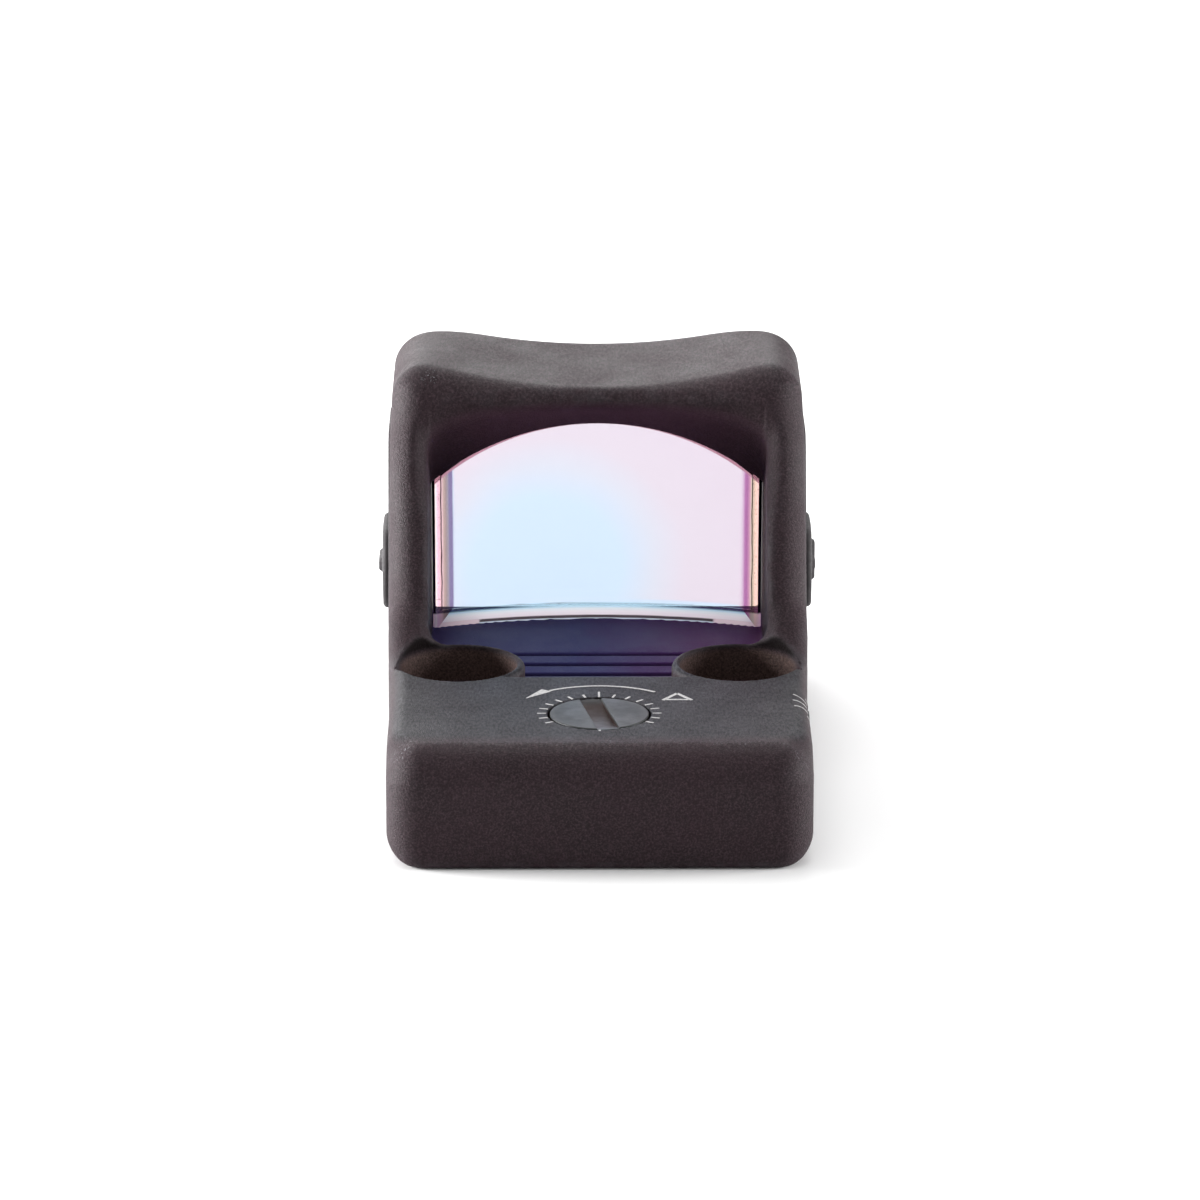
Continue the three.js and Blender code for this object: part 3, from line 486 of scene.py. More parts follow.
def carved(name, distance, node, step, most):
    """A piece meshed from its distance inside its CAD node's box, thinned out to `most` triangles."""
    low, high = (np.array(c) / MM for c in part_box(node))
    points, faces = net(distance, low - NET_MARGIN, high + NET_MARGIN, step)
    points = settle(distance, points, step / 4, 3, step)
    obj = linked(name, mesh_of(name, points, faces))
    triangles = 2 * len(faces)
    if triangles > most:
        thin = obj.modifiers.new("thin", "DECIMATE")
        thin.ratio = most / triangles
        thin.use_collapse_triangulate = True
        graph = bpy.context.evaluated_depsgraph_get()
        thinned = bpy.data.meshes.new_from_object(obj.evaluated_get(graph))
        obj.modifiers.clear()
        obj.data = thinned
        thinned.name = name
    mesh = obj.data
    points = settle(distance, points_of(mesh), step / 4, 2, step / 3)
    mesh.vertices.foreach_set("co", (points * MM).astype(np.float32).ravel())
    mesh.update()
    value, grad = slopes(distance, points, step / 3)
    normals = grad / np.maximum(np.linalg.norm(grad, axis=1), 1e-6)[:, None]
    around = sum(distance(*(points + s).T) for s in np.concatenate([np.eye(3), -np.eye(3)]) * EDGE_REACH)
    bend = (around - 6 * value) / EDGE_REACH**2
    edge = mesh.attributes.new("edge", "FLOAT", "POINT")
    edge.data.foreach_set("value", np.clip(bend / 3, -1, 1).astype(np.float32))
    mesh.polygons.foreach_set("use_smooth", np.ones(len(mesh.polygons), bool))
    mesh.normals_split_custom_set_from_vertices(normals.astype(np.float32))
    return obj


# --- Materials ------------------------------------------------------------------------------------


class Finish:
    """A node material: a Principled shader and short ways to add what drives it."""

    def __init__(self, name):
        self.material = bpy.data.materials.new(name)
        self.material.use_nodes = True
        self.tree = self.material.node_tree
        self.shader = self.tree.nodes["Principled BSDF"]
        self.output = self.tree.nodes["Material Output"]
        self.place = self.add("ShaderNodeTexCoord").outputs["Object"]

    def add(self, kind, **values):
        node = self.tree.nodes.new(kind)
        for key, value in values.items():
            setattr(node, key, value)
        return node

    def link(self, source, target):
        self.tree.links.new(source, target)
        return target

    def set(self, **values):
        for key, value in values.items():
            self.shader.inputs[key.replace("_", " ")].default_value = value
        return self

    def noise(self, scale, detail=2.0, rough=0.5, place=None):
        node = self.add("ShaderNodeTexNoise")
        node.inputs["Scale"].default_value = scale
        node.inputs["Detail"].default_value = detail
        node.inputs["Roughness"].default_value = rough
        self.link(place or self.place, node.inputs["Vector"])
        return node.outputs["Fac"]

    def spots(self, scale):
        node = self.add("ShaderNodeTexVoronoi")
        node.inputs["Scale"].default_value = scale
        self.link(self.place, node.inputs["Vector"])
        return node.outputs["Distance"]

    def stretched(self, scale):
        node = self.add("ShaderNodeMapping")
        node.inputs["Scale"].default_value = scale
        self.link(self.place, node.inputs["Vector"])
        return node.outputs["Vector"]

    def span(self, source, low, high, to_low=0, to_high=1):
        """Maps the stretch from low to high of a source to another one, and holds it beyond."""
        node = self.add("ShaderNodeMapRange")
        for key, value in zip(("From Min", "From Max", "To Min", "To Max"), (low, high, to_low, to_high)):
            node.inputs[key].default_value = value
        self.link(source, node.inputs["Value"])
        return node.outputs["Result"]

    def fade(self, mask, *stretch):
        """A mask times a span."""
        return self.math("MULTIPLY", mask, self.span(*stretch))

    def math(self, kind, a, b=0):
        node = self.add("ShaderNodeMath", operation=kind)
        for socket, value in zip(node.inputs, (a, b)):
            if isinstance(value, (int, float)):
                socket.default_value = value
            else:
                self.link(value, socket)
        return node.outputs["Value"]

    def length(self, a, b):
        squares = self.math("ADD", self.math("MULTIPLY", a, a), self.math("MULTIPLY", b, b))
        return self.math("SQRT", squares)

    def stray(self, noise, reach):
        """A noise as a shift to either side of zero."""
        return self.math("MULTIPLY", self.math("SUBTRACT", noise, 0.5), reach)

    def edges(self):
        """How sharply the surface bends outwards, from the mesh's own attribute."""
        return self.add("ShaderNodeAttribute", attribute_name="edge").outputs["Fac"]

    def mix(self, factor, a, b):
        node = self.add("ShaderNodeMix", data_type="RGBA")
        for socket, value in zip((node.inputs[0], node.inputs[6], node.inputs[7]), (factor, a, b)):
            if isinstance(value, (int, float)):
                socket.default_value = value
            elif isinstance(value, tuple):
                socket.default_value = (*value, 1)
            else:
                self.link(value, socket)
        return node.outputs[2]

    def bumps(self, height, strength, distance):
        node = self.add("ShaderNodeBump")
        node.inputs["Strength"].default_value = strength
        node.inputs["Distance"].default_value = distance
        self.link(height, node.inputs["Height"])
        self.link(node.outputs["Normal"], self.shader.inputs["Normal"])

    def colour(self, source):
        self.link(source, self.shader.inputs["Base Color"])

    def roughness(self, source):
        self.link(source, self.shader.inputs["Roughness"])

    def axis(self, name):
        node = self.add("ShaderNodeSeparateXYZ")
        self.link(self.place, node.inputs[0])
        return node.outputs[name]

    def apart(self, point):
        """How far the surface is from a point given in millimetres."""
        node = self.add("ShaderNodeVectorMath", operation="DISTANCE")
        self.link(self.place, node.inputs[0])
        node.inputs[1].default_value = scaled(point, MM)
        return node.outputs["Value"]

    def bands(self, source, stops):
        """Colours along a distance, from (millimetres, colour) pairs."""
        node = self.add("ShaderNodeValToRGB")
        reach = stops[-1][0]
        elements = node.color_ramp.elements
        while len(elements) < len(stops):
            elements.new(0.5)
        for element, (at, colour) in zip(elements, stops):
            element.position = at / reach
            element.color = (*colour, 1)
        self.link(self.span(source, 0, reach * MM), node.inputs[0])
        return node.outputs[0]


def scaled(colour, share):
    return tuple(c * share for c in colour)


def edge_wear_and_highlights(f, colour):
    """Edges lighter grey, partly rubbed wear and partly a painted highlight, and pale chips at the corners
    that get knocked, which also stand in for painted glints there.
    """
    y, z = f.axis("Y"), f.axis("Z")
    patches = f.span(f.noise(900, 4, 0.65), 0.42, 0.68, 0.1, 1)
    # rubbed edges lighten to grey, which also paints their highlight
    worn = f.math("MULTIPLY", f.span(f.edges(), 0.12, 0.75), patches)
    colour = f.mix(f.math("MULTIPLY", worn, 0.35), colour, (0.075, 0.07, 0.078))
    chips = f.span(f.noise(6500, 2, 0.6), 0.6, 0.66)
    # painted glints as well as knocked wear: pale patches at two rear corners of the deck and the hood's top
    # left corner
    knocks_and_glints = f.span(f.apart((-13.2, -20.5, 7.8)), 0.0002, 0.0012, 0.7, 0)
    for corner in ((13.4, -20.9, 7.4), (-11.4, 10.6, 24.3)):
        knocks_and_glints = f.math("MAXIMUM", knocks_and_glints, f.span(f.apart(corner), 0.0003, 0.001, 0.5, 0))
    # the deck's rear top edge: pale patches as wear and as a painted highlight
    rear_edge = f.fade(f.span(y, -0.0188, -0.0196), y, -0.0208, -0.0202)
    rear_edge = f.fade(rear_edge, z, 0.0072, 0.0076, 0, 0.3)
    knocks_and_glints = f.math("MAXIMUM", knocks_and_glints, f.math("MULTIPLY", rear_edge, patches))
    return f.mix(f.math("MULTIPLY", chips, knocks_and_glints), colour, (0.34, 0.34, 0.37))


def dish_painted_light(f, colour, grain):
    """Painted light: the dish over the lens, which faces down, is painted lighter, and this fades towards
    its edges.
    """
    y, z = f.axis("Y"), f.axis("Z")
    across = f.math("ABSOLUTE", f.axis("X"))
    slope = f.math("ADD", f.math("MULTIPLY", y, SLOPE_NORMAL[0]), f.math("MULTIPLY", z, SLOPE_NORMAL[1]))
    mask = f.fade(f.span(slope, 0.0032, 0.0028), z, 0.0135, 0.016)
    mask = f.fade(mask, y, 0.0128, 0.0124)
    mask = f.fade(mask, z, 0.0228, 0.0218)
    mask = f.fade(mask, across, 0.012, 0.0114)
    mask = f.fade(mask, across, 0.0105, 0.0035, 0.2, 1)
    return f.mix(mask, colour, f.mix(grain, (0.053, 0.024, 0.038), (0.09, 0.042, 0.066)))


def pocket_painted_light_and_shade(f, colour, speckle):
    """Painted light and shade in the screw pockets: a lit brown below the deck, and near black painted shade
    above it. Also gives the mask of the shaded part.
    """
    z = f.axis("Z")
    across = f.math("SUBTRACT", f.math("ABSOLUTE", f.axis("X")), POCKET[0] * MM)
    along = f.math("SUBTRACT", f.axis("Y"), POCKET[1] * MM)
    pocket = f.span(f.length(across, along), 0.0041, 0.00398)
    # painted shade: the wall above the deck, cut into the post, is near black
    shaded_above = f.fade(pocket, z, 0.0077, 0.0081, 0, 0.9)
    colour = f.mix(shaded_above, colour, (0.003, 0.0015, 0.0015))
    # painted light: the pocket below the deck is a lit brown
    lit_below = f.fade(pocket, z, 0.0079, 0.0075)
    return f.mix(lit_below, colour, f.mix(speckle, (0.034, 0.02, 0.017), (0.09, 0.054, 0.048))), shaded_above


def deck_painted_reflection(f, colour, speckle):
    """Painted reflection: the top of the deck is painted lighter and cooler, up to its rear edge."""
    y = f.axis("Y")
    mask = f.fade(f.span(f.axis("Z"), 0.0075, 0.0079, 0, 0.8), y, -0.001, -0.004)
    mask = f.fade(mask, y, -0.0199, -0.0187)
    return f.mix(mask, colour, f.mix(speckle, (0.006, 0.0065, 0.0085), (0.029, 0.03, 0.0355)))


def bay_floor_painted_reflection(f, colour, mottle):
    """Painted reflection: the floor of the bay is painted violet, the coating's colour reflected in it. Also
    gives its mask.
    """
    x, y, z = f.axis("X"), f.axis("Y"), f.axis("Z")
    mask = f.fade(f.span(f.math("ABSOLUTE", x), 0.01162, 0.01156), z, 0.0048, 0.0052)
    mask = f.fade(mask, z, 0.0056, 0.0053)
    mask = f.fade(mask, y, 0.0006, 0.0035)
    mask = f.fade(mask, y, 0.0184, 0.0188, 1, 0)
    side = f.span(f.math("ADD", x, f.stray(mottle, 0.006)), -0.001, 0.0075)
    return f.mix(mask, colour, f.mix(side, (0.047, 0.041, 0.155), (0.105, 0.03, 0.14))), mask


def anodised(name, tint=(0.0168, 0.0083, 0.0113), painted_light_places=True):
    """Fine blasted aluminium, black anodised: grain, faint mottling, lighter edges that are wear and painted
    highlight, and, where asked, painted light, shade and reflections on the dish, the pockets, the deck and
    the bay floor.
    """
    f = Finish(name).set(IOR=1.29)
    mottle = f.noise(260, 3, 0.6)
    y, z = f.axis("Y"), f.axis("Z")
    level = f.fade(f.span(z, 0.0075, 0.0079), y, -0.001, -0.004)
    level = f.math("MAXIMUM", level, f.span(z, 0.022, 0.023))
    grain = f.mix(level, f.noise(7500, 2, 0.7), f.noise(1.0, 2, 0.7, f.stretched((6000, 2000, 6000))))
    speckle = f.span(grain, 0.36, 0.66)
    colour = f.mix(f.span(mottle, 0.3, 0.7), scaled(tint, 0.8), scaled(tint, 1.2))
    colour = f.mix(f.span(grain, 0.45, 0.72, 0, 0.7), colour, scaled(tint, 2.6))
    colour = edge_wear_and_highlights(f, colour)
    if painted_light_places:
        # painted light, shade and reflections: a lighter dish, lit and shaded pockets, a lighter deck and a
        # violet bay floor
        colour = dish_painted_light(f, colour, grain)
        colour, pocket_painted_shade = pocket_painted_light_and_shade(f, colour, speckle)
        colour = deck_painted_reflection(f, colour, speckle)
        colour, bay_floor_reflection = bay_floor_painted_reflection(f, colour, mottle)
        dull = f.math("MAXIMUM", bay_floor_reflection, pocket_painted_shade)
        gloss = f.fade(f.span(speckle, 0, 1, 0.72, 1.3), dull, 0, 1, 0.5, 0.1)
        f.link(gloss, f.shader.inputs["Specular IOR Level"])
    f.colour(colour)
    f.roughness(f.span(f.math("ADD", mottle, f.span(grain, 0, 1, -0.15, 0.15)), 0.3, 0.7, 0.52, 0.64))
    pits = f.noise(14000, 1.5, 0.6)
    f.bumps(f.math("ADD", pits, f.math("MULTIPLY", grain, 0.8)), 0.9, 0.00005)
    return f.material


def metal(name, light, dark, rough, stretch=None, metallic=1.0):
    """Turned or drawn metal: fine lines one way, smears and small pits."""
    f = Finish(name).set(Metallic=metallic)
    lines = f.noise(1.0, 3, 0.7, f.stretched(stretch or (9000, 700, 9000)))
    smear = f.noise(350, 3, 0.6)
    f.colour(f.mix(f.span(lines, 0.3, 0.7), dark, light))
    f.roughness(f.span(smear, 0.3, 0.7, rough * 0.8, rough * 1.25))
    f.bumps(f.math("ADD", lines, f.noise(7000, 1)), 0.25, 0.000008)
    return f.material


def dial_finish(name, centre, axes, along, slot):
    """A turned screw head: rings round its axis, darker in the slot, a few scratches."""
    f = Finish(name).set(Metallic=0.55, IOR=1.5)
    radius = f.length(*(f.math("SUBTRACT", f.axis(a), c * MM) for a, c in zip(axes, centre)))
    rings = f.math("SINE", f.math("MULTIPLY", radius, 52000))
    mottle = f.noise(700, 4, 0.6)
    colour = f.mix(f.span(mottle, 0.3, 0.7), (0.009, 0.0105, 0.012), (0.017, 0.0195, 0.021))
    worn = f.math("MULTIPLY", f.span(f.edges(), 0.2, 0.9, 0, 0.3), mottle)
    colour = f.mix(worn, colour, (0.12, 0.12, 0.12))
    hollow = f.span(f.axis(along), *slot)
    colour = f.mix(f.math("MULTIPLY", hollow, 0.9), colour, (0.028, 0.012, 0.008))
    f.link(f.span(hollow, 0, 1, 0.5, 0.2), f.shader.inputs["Specular IOR Level"])
    f.colour(colour)
    f.roughness(f.span(mottle, 0.3, 0.7, 0.38, 0.55))
    f.bumps(f.math("ADD", f.math("MULTIPLY", rings, 0.25), f.noise(9000, 2)), 0.25, 0.00001)
    return f.material


def rubber(name):
    """Moulded rubber, dusty in places."""
    f = Finish(name).set(IOR=1.45)
    pores = f.noise(5200, 3, 0.7)
    dust = f.noise(420, 4, 0.6)
    f.colour(f.mix(f.span(dust, 0.35, 0.75), (0.016, 0.0136, 0.0152), (0.038, 0.0323, 0.0361)))
    f.roughness(f.span(pores, 0.3, 0.7, 0.6, 0.85))
    f.bumps(pores, 0.5, 0.00003)
    return f.material


def plastic(name, low, high, rough):
    f = Finish(name)
    cloud = f.noise(1800, 3, 0.6)
    f.colour(f.mix(f.span(cloud, 0.3, 0.7), low, high))
    f.roughness(f.span(cloud, 0.3, 0.7, rough * 0.8, rough * 1.2))
    f.bumps(f.noise(9000, 2), 0.3, 0.00001)
    return f.material


def board_finish():
    """Solder mask over copper tracks, with bright pads."""
    f = Finish("board_mask")
    tracks = f.add("ShaderNodeTexBrick")
    for key, value in (("Scale", 320), ("Mortar Size", 0.09), ("Brick Width", 1.3), ("Row Height", 0.42)):
        tracks.inputs[key].default_value = value
    f.link(f.place, tracks.inputs["Vector"])
    line = tracks.outputs["Fac"]
    cloud = f.noise(1500, 3)
    mask = f.mix(cloud, (0.012, 0.06, 0.03), (0.02, 0.1, 0.05))
    mask = f.mix(f.math("MULTIPLY", line, 0.7), mask, (0.05, 0.2, 0.09))
    pads = f.span(f.spots(700), 0.14, 0.1, 0, 1)
    f.colour(f.mix(pads, mask, (0.72, 0.5, 0.2)))
    f.link(pads, f.shader.inputs["Metallic"])
    f.roughness(f.span(cloud, 0.3, 0.7, 0.3, 0.5))
    f.bumps(line, 0.3, 0.00003)
    return f.material


def print_white():
    """Laser marks: slightly uneven off-white."""
    f = Finish("mark_white")
    cloud = f.noise(6000, 3, 0.7)
    f.colour(f.mix(f.span(cloud, 0.35, 0.65), (0.26, 0.25, 0.25), (0.56, 0.55, 0.55)))
    f.roughness(f.span(cloud, 0.3, 0.7, 0.5, 0.8))
    f.bumps(cloud, 0.2, 0.00001)
    return f.material


def clear(tint_socket, f, mirror, gloss_tint, frost=None):
    """A see-through tint under a gloss that grows towards grazing angles, with frost where it is given."""
    through = f.add("ShaderNodeBsdfTransparent")
    f.link(tint_socket, through.inputs["Color"])
    if frost is not None:
        ground = f.add("ShaderNodeBsdfTranslucent")
        f.link(tint_socket, ground.inputs["Color"])
        hazy = f.add("ShaderNodeMixShader")
        f.link(frost, hazy.inputs[0])
        f.link(through.outputs[0], hazy.inputs[1])
        f.link(ground.outputs[0], hazy.inputs[2])
        through = hazy
    shine = f.add("ShaderNodeBsdfAnisotropic", distribution="GGX")
    shine.inputs["Color"].default_value = (*gloss_tint, 1)
    haze = f.noise(2500, 2)
    f.link(f.span(haze, 0.3, 0.7, 0.015, 0.04), shine.inputs["Roughness"])
    fresnel = f.add("ShaderNodeFresnel")
    fresnel.inputs["IOR"].default_value = mirror
    blend = f.add("ShaderNodeMixShader")
    f.link(fresnel.outputs[0], blend.inputs[0])
    f.link(through.outputs[0], blend.inputs[1])
    f.link(shine.outputs[0], blend.inputs[2])
    f.link(blend.outputs[0], f.output.inputs["Surface"])
    f.tree.nodes.remove(f.shader)
    return f.material


# Tints of the lens, each with its distance from the edge, or from the middle of the pale patch for the last.
# The rim tints are painted reflections of the rim's edges, and the foot's are painted highlights and a
# painted dark line of shade.
LEFT_RIM_REFLECTIONS = [
    (0.0, (0.61, 0.47, 0.45)), (0.12, (0.72, 0.62, 0.62)), (0.24, (0.85, 0.76, 0.79)),
    (0.36, (0.76, 0.55, 0.7)), (0.62, (0.66, 0.44, 0.5)), (0.78, (0.36, 0.26, 0.25)),
    (0.94, (0.27, 0.205, 0.2)), (1.1, (0.24, 0.214, 0.26)), (1.2, (0.165, 0.135, 0.25)),
    (1.38, (0.165, 0.135, 0.25)), (1.48, (0.4, 0.44, 0.54)),
]
RIGHT_RIM_REFLECTIONS = [
    (0.0, (0.72, 0.5, 0.56)), (0.2, (0.76, 0.56, 0.55)), (0.42, (0.77, 0.56, 0.5)),
    (0.56, (0.55, 0.47, 0.38)), (0.72, (0.46, 0.36, 0.32)), (0.84, (0.4, 0.2, 0.3)),
    (1.0, (0.28, 0.11, 0.25)), (1.14, (0.3, 0.12, 0.27)), (1.26, (0.44, 0.3, 0.43)),
    (1.4, (0.5, 0.42, 0.5)), (1.5, (0.52, 0.46, 0.525)),
]
FOOT_HIGHLIGHT_AND_SHADE = [
    (0.0, (0.75, 0.88, 0.95)), (0.42, (0.75, 0.88, 0.95)), (0.46, (0.1, 0.085, 0.09)),
    (0.58, (0.1, 0.085, 0.09)), (0.63, (1.0, 0.93, 0.96)), (0.82, (1.0, 0.97, 1.0)),
    (0.98, (0.88, 0.97, 1.0)), (1.08, (0.6, 0.82, 0.95)), (1.16, (0.33, 0.54, 0.68)),
    (1.26, (0.29, 0.46, 0.58)), (1.38, (0.42, 0.51, 0.62)), (1.6, (0.44, 0.5, 0.6)),
]
MIDDLE = [
    (0.0, (0.42, 0.51, 0.62)), (5.2, (0.425, 0.513, 0.62)), (7.6, (0.485, 0.497, 0.565)),
    (9.8, (0.52, 0.47, 0.53)), (14.0, (0.52, 0.46, 0.525)),
]


def lens_coating():
    """The coat: pale blue low down, pink at the top and the sides. The fine coloured lines at the rim and
    along the arch are painted reflections of the edges, and the foot has painted highlights and a painted
    dark line of shade.
    """
    f = Finish("lens_coat")
    x, z = f.axis("X"), f.axis("Z")
    across = f.math("ABSOLUTE", x)
    wobble = f.stray(f.noise(300, 2), 0.00005)
    side = f.math("ADD", f.math("SUBTRACT", 0.0115, across), wobble)
    low = f.math("MULTIPLY", f.math("ADD", f.math("SUBTRACT", z, 0.00475), wobble), 0.8)
    crown = f.length(x, f.math("SUBTRACT", z, ARCH_Z * MM))
    arch = f.math("SUBTRACT", (ARCH_R - 0.1) * MM, crown)
    corner = f.math("ADD", across, f.stray(f.noise(1300, 3), 0.0012))
    # painted highlight and shade at the foot: bright lines, a dark line of shade, and cream corners
    pale = f.fade(f.span(corner, 0.0083, 0.0085), low, 0.00064, 0.0006)
    foot = f.mix(pale, f.bands(low, FOOT_HIGHLIGHT_AND_SHADE), (0.95, 0.8, 0.82))
    # painted reflections: coloured lines along the side rims
    rim = f.mix(f.span(x, -0.001, 0.001), f.bands(side, LEFT_RIM_REFLECTIONS), f.bands(side, RIGHT_RIM_REFLECTIONS))
    rim = f.mix(f.math("LESS_THAN", side, low), foot, rim)
    far = f.length(f.math("ADD", x, 0.0035), f.math("ADD", z, -0.009))
    far = f.math("ADD", far, f.stray(f.noise(120, 2), 0.002))
    inner = f.span(f.math("MINIMUM", side, low), 0.00146, 0.0016)
    tint = f.mix(inner, rim, f.bands(far, MIDDLE))
    # painted reflection: a thin pink-brown line along the arch's edge
    tint = f.mix(f.span(arch, 0.00026, 0.00032, 1, 0), tint, (0.3, 0.15, 0.2))
    rear = f.span(f.apart((0, *LENS_CENTRE)), 0.0323, 0.0324, 1, 0)
    frost = f.math("MULTIPLY", f.span(low, 0.0012, 0.0011, 0, 0.9), rear)
    tint = f.mix(rear, (0.98, 0.98, 0.98), tint)
    return clear(tint, f, 1.3, (0.8, 0.72, 1.0), frost)


def plain_glass(name, tint):
    """A flat pane, slightly cloudy."""
    f = Finish(name)
    cloud = f.noise(900, 3)
    return clear(f.mix(cloud, tint, scaled(tint, 0.92)), f, 1.5, (1, 1, 1))


def seal_finish():
    """Clear adhesive with a warm cast and small bubbles."""
    f = Finish("seal_adhesive")
    bubbles = f.span(f.spots(2600), 0.12, 0.2, 0, 1)
    cast = f.mix(f.noise(1600, 4, 0.7), (0.9, 0.85, 0.83), (0.98, 0.95, 0.94))
    return clear(f.mix(bubbles, (0.75, 0.68, 0.66), cast), f, 1.35, (1, 1, 1))


FINISHES = {
    "anodised_housing": anodised("anodised_black"),
    "side_plate": anodised("anodised_plate", (0.0175, 0.0115, 0.0138), painted_light_places=False),
    "lens_glass": lens_coating(),
    "adhesive": seal_finish(),
    "window_glass": plain_glass("window_pane", (0.5, 0.5, 0.52)),
    "black_steel": metal("steel_blackened", (0.07, 0.07, 0.072), (0.035, 0.035, 0.037), 0.45, metallic=0.7),
    "steel": metal("steel_bright", (0.62, 0.62, 0.63), (0.42, 0.42, 0.43), 0.3),
    "brass": metal("brass_machined", (0.72, 0.5, 0.2), (0.5, 0.33, 0.12), 0.3),
    "rubber": rubber("rubber_black"),
    "gold_contact": metal("gold_plate", (0.85, 0.6, 0.22), (0.7, 0.46, 0.16), 0.25),
    "board": board_finish(),
    "black_plastic": plastic("plastic_black", (0.012, 0.012, 0.013), (0.025, 0.025, 0.027), 0.5),
    "led_lens": plastic("led_epoxy", (0.5, 0.05, 0.03), (0.75, 0.12, 0.07), 0.15),
    "battery_can": metal("battery_nickel", (0.7, 0.7, 0.71), (0.52, 0.52, 0.53), 0.28, (600, 9000, 9000)),
    "marks": print_white(),
    "elevation_dial": dial_finish("dial_top", DIAL, "XY", "Z", (0.0079, 0.00775)),
    "windage_dial": dial_finish("dial_side", WINDAGE, "YZ", "X", (0.01385, 0.0137)),
}


# --- Pieces: housing, dials, buttons and side plates ----------------------------------------------

fine = 1
shell = carved("housing_shell", housing, "housing", 0.16 * fine, 150000)
place(shell, FINISHES["anodised_housing"], "body", "anodised_housing", "housing")
dial = carved("elevation_dial_screw", elevation_screw, "elevation_screw", 0.07 * fine, 30000)
place(dial, FINISHES["elevation_dial"], "elevation_dial", "black_steel", "elevation_screw")
dial = carved("windage_dial_screw", windage_screw, "windage_screw", 0.07 * fine, 30000)
place(dial, FINISHES["windage_dial"], "windage_dial", "black_steel", "windage_screw")
for side, name in ((-1, "left"), (1, "right")):
    plate = carved(f"{name}_cover_plate", side_plate(side), f"{name}_side_plate", 0.1 * fine, 14000)
    place(plate, FINISHES["side_plate"], "body", "anodised_housing", f"{name}_side_plate")
    pad = carved(f"{name}_rubber_button", button(side), f"{name}_button", 0.09 * fine, 16000)
    place(pad, FINISHES["rubber"], f"{name}_button", "rubber", f"{name}_button")


# --- Lens and its seal ----------------------------------------------------------------------------


OUTLINE_STEPS = 60
LENS_BOTTOM = 4.75
LENS_GAP = 0.1
LENS_BEVEL = 0.15
LENS_MIDDLE = np.array([0.0, 12.0])


def lens_outline(inset, bottom):
    """Points in X and Z round the lens, counterclockwise, from the bottom left corner."""
    count = OUTLINE_STEPS
    half = WINDOW_HALF - inset
    r = ARCH_R - inset
    spring = ARCH_Z + math.sqrt(r**2 - half**2)
    angle = math.acos(half / r)
    turns = np.linspace(angle, math.pi - angle, 2 * count)
    arch = np.stack([r * np.cos(turns), ARCH_Z + r * np.sin(turns)], 1)
    floor = np.stack([np.linspace(-half, half, 2 * count), np.full(2 * count, bottom)], 1)
    right = np.stack([np.full(count, half), np.linspace(bottom, spring, count)], 1)
    left = np.stack([np.full(count, -half), np.linspace(spring, bottom, count)], 1)
    return np.concatenate([floor[:-1], right[:-1], arch[:-1], left[:-1]])


def on_sphere(outline, r):
    x, z = outline[:, 0], outline[:, 1]
    y = LENS_CENTRE[0] + np.sqrt(r**2 - x**2 - (z - LENS_CENTRE[1]) ** 2)
    return np.stack([x, y, z], 1)


def outward(name, rings, faces, merge):
    """A mesh from rings of points in millimetres, with its faces turned outwards."""
    mesh = bpy.data.meshes.new(name)
    mesh.from_pydata((np.concatenate(rings) * MM).tolist(), [], faces)
    shape = bmesh.new()
    shape.from_mesh(mesh)
    if merge:
        bmesh.ops.remove_doubles(shape, verts=shape.verts, dist=1e-8)
    bmesh.ops.recalc_face_normals(shape, faces=shape.faces)
    shape.to_mesh(mesh)
    shape.free()
    return mesh


def loft(name, rings, closed):
    """A closed mesh through rings of the same number of points, shut at its ends or joined end to end."""
    count, total = len(rings[0]), len(rings)
    faces = []
    for i in range(total if closed else total - 1):
        a, b = i * count, (i + 1) % total * count
        faces += [(a + k, a + (k + 1) % count, b + (k + 1) % count, b + k) for k in range(count)]
    if not closed:
        faces += [tuple(range(count))[::-1], tuple(range((total - 1) * count, total * count))]
    mesh = outward(name, rings, faces, merge=True)
    mesh.polygons.foreach_set("use_smooth", np.ones(len(mesh.polygons), bool))
    mesh.set_sharp_from_angle(angle=math.radians(28))
    return mesh


def lens_face(r):
    """Rings of one face of the lens, from its rim to near its middle."""
    rings = []
    for inset in (LENS_BEVEL, 0.35, 0.6, 0.85, 1.1, 1.35, 1.6, 1.85):
        inner = lens_outline(LENS_GAP + inset, LENS_BOTTOM + inset)
        rings.append(on_sphere(inner, r))
    for share in (0.85, 0.65, 0.45, 0.25, 0.06):
        rings.append(on_sphere(LENS_MIDDLE + (inner - LENS_MIDDLE) * share, r))
    return rings


rear_rim = on_sphere(lens_outline(LENS_GAP, LENS_BOTTOM), LENS_REAR_R + LENS_BEVEL)
front_rim = on_sphere(lens_outline(LENS_GAP, LENS_BOTTOM), LENS_FRONT_R - LENS_BEVEL)
lens_rings = lens_face(LENS_REAR_R)[::-1] + [rear_rim, front_rim] + lens_face(LENS_FRONT_R)
lens_mesh = loft("lens_coated", lens_rings, False)
place(linked("lens_coated", lens_mesh), FINISHES["lens_glass"], "body", "lens_glass", "lens")


SEAL_WAVES = 60
SEAL_FOOT_WAVES = slice(1, 19)


def seal_outline(inset, bottom, ragged):
    """The lens's outline, drawn in towards the middle by an uneven amount."""
    outline = lens_outline(inset, bottom)
    places = np.linspace(0, len(outline), SEAL_WAVES + 1)
    wave = np.interp(np.arange(len(outline)), places, np.append(ragged, ragged[0]))
    to_middle = LENS_MIDDLE - outline
    to_middle /= np.linalg.norm(to_middle, axis=1)[:, None]
    return outline + to_middle * wave[:, None]


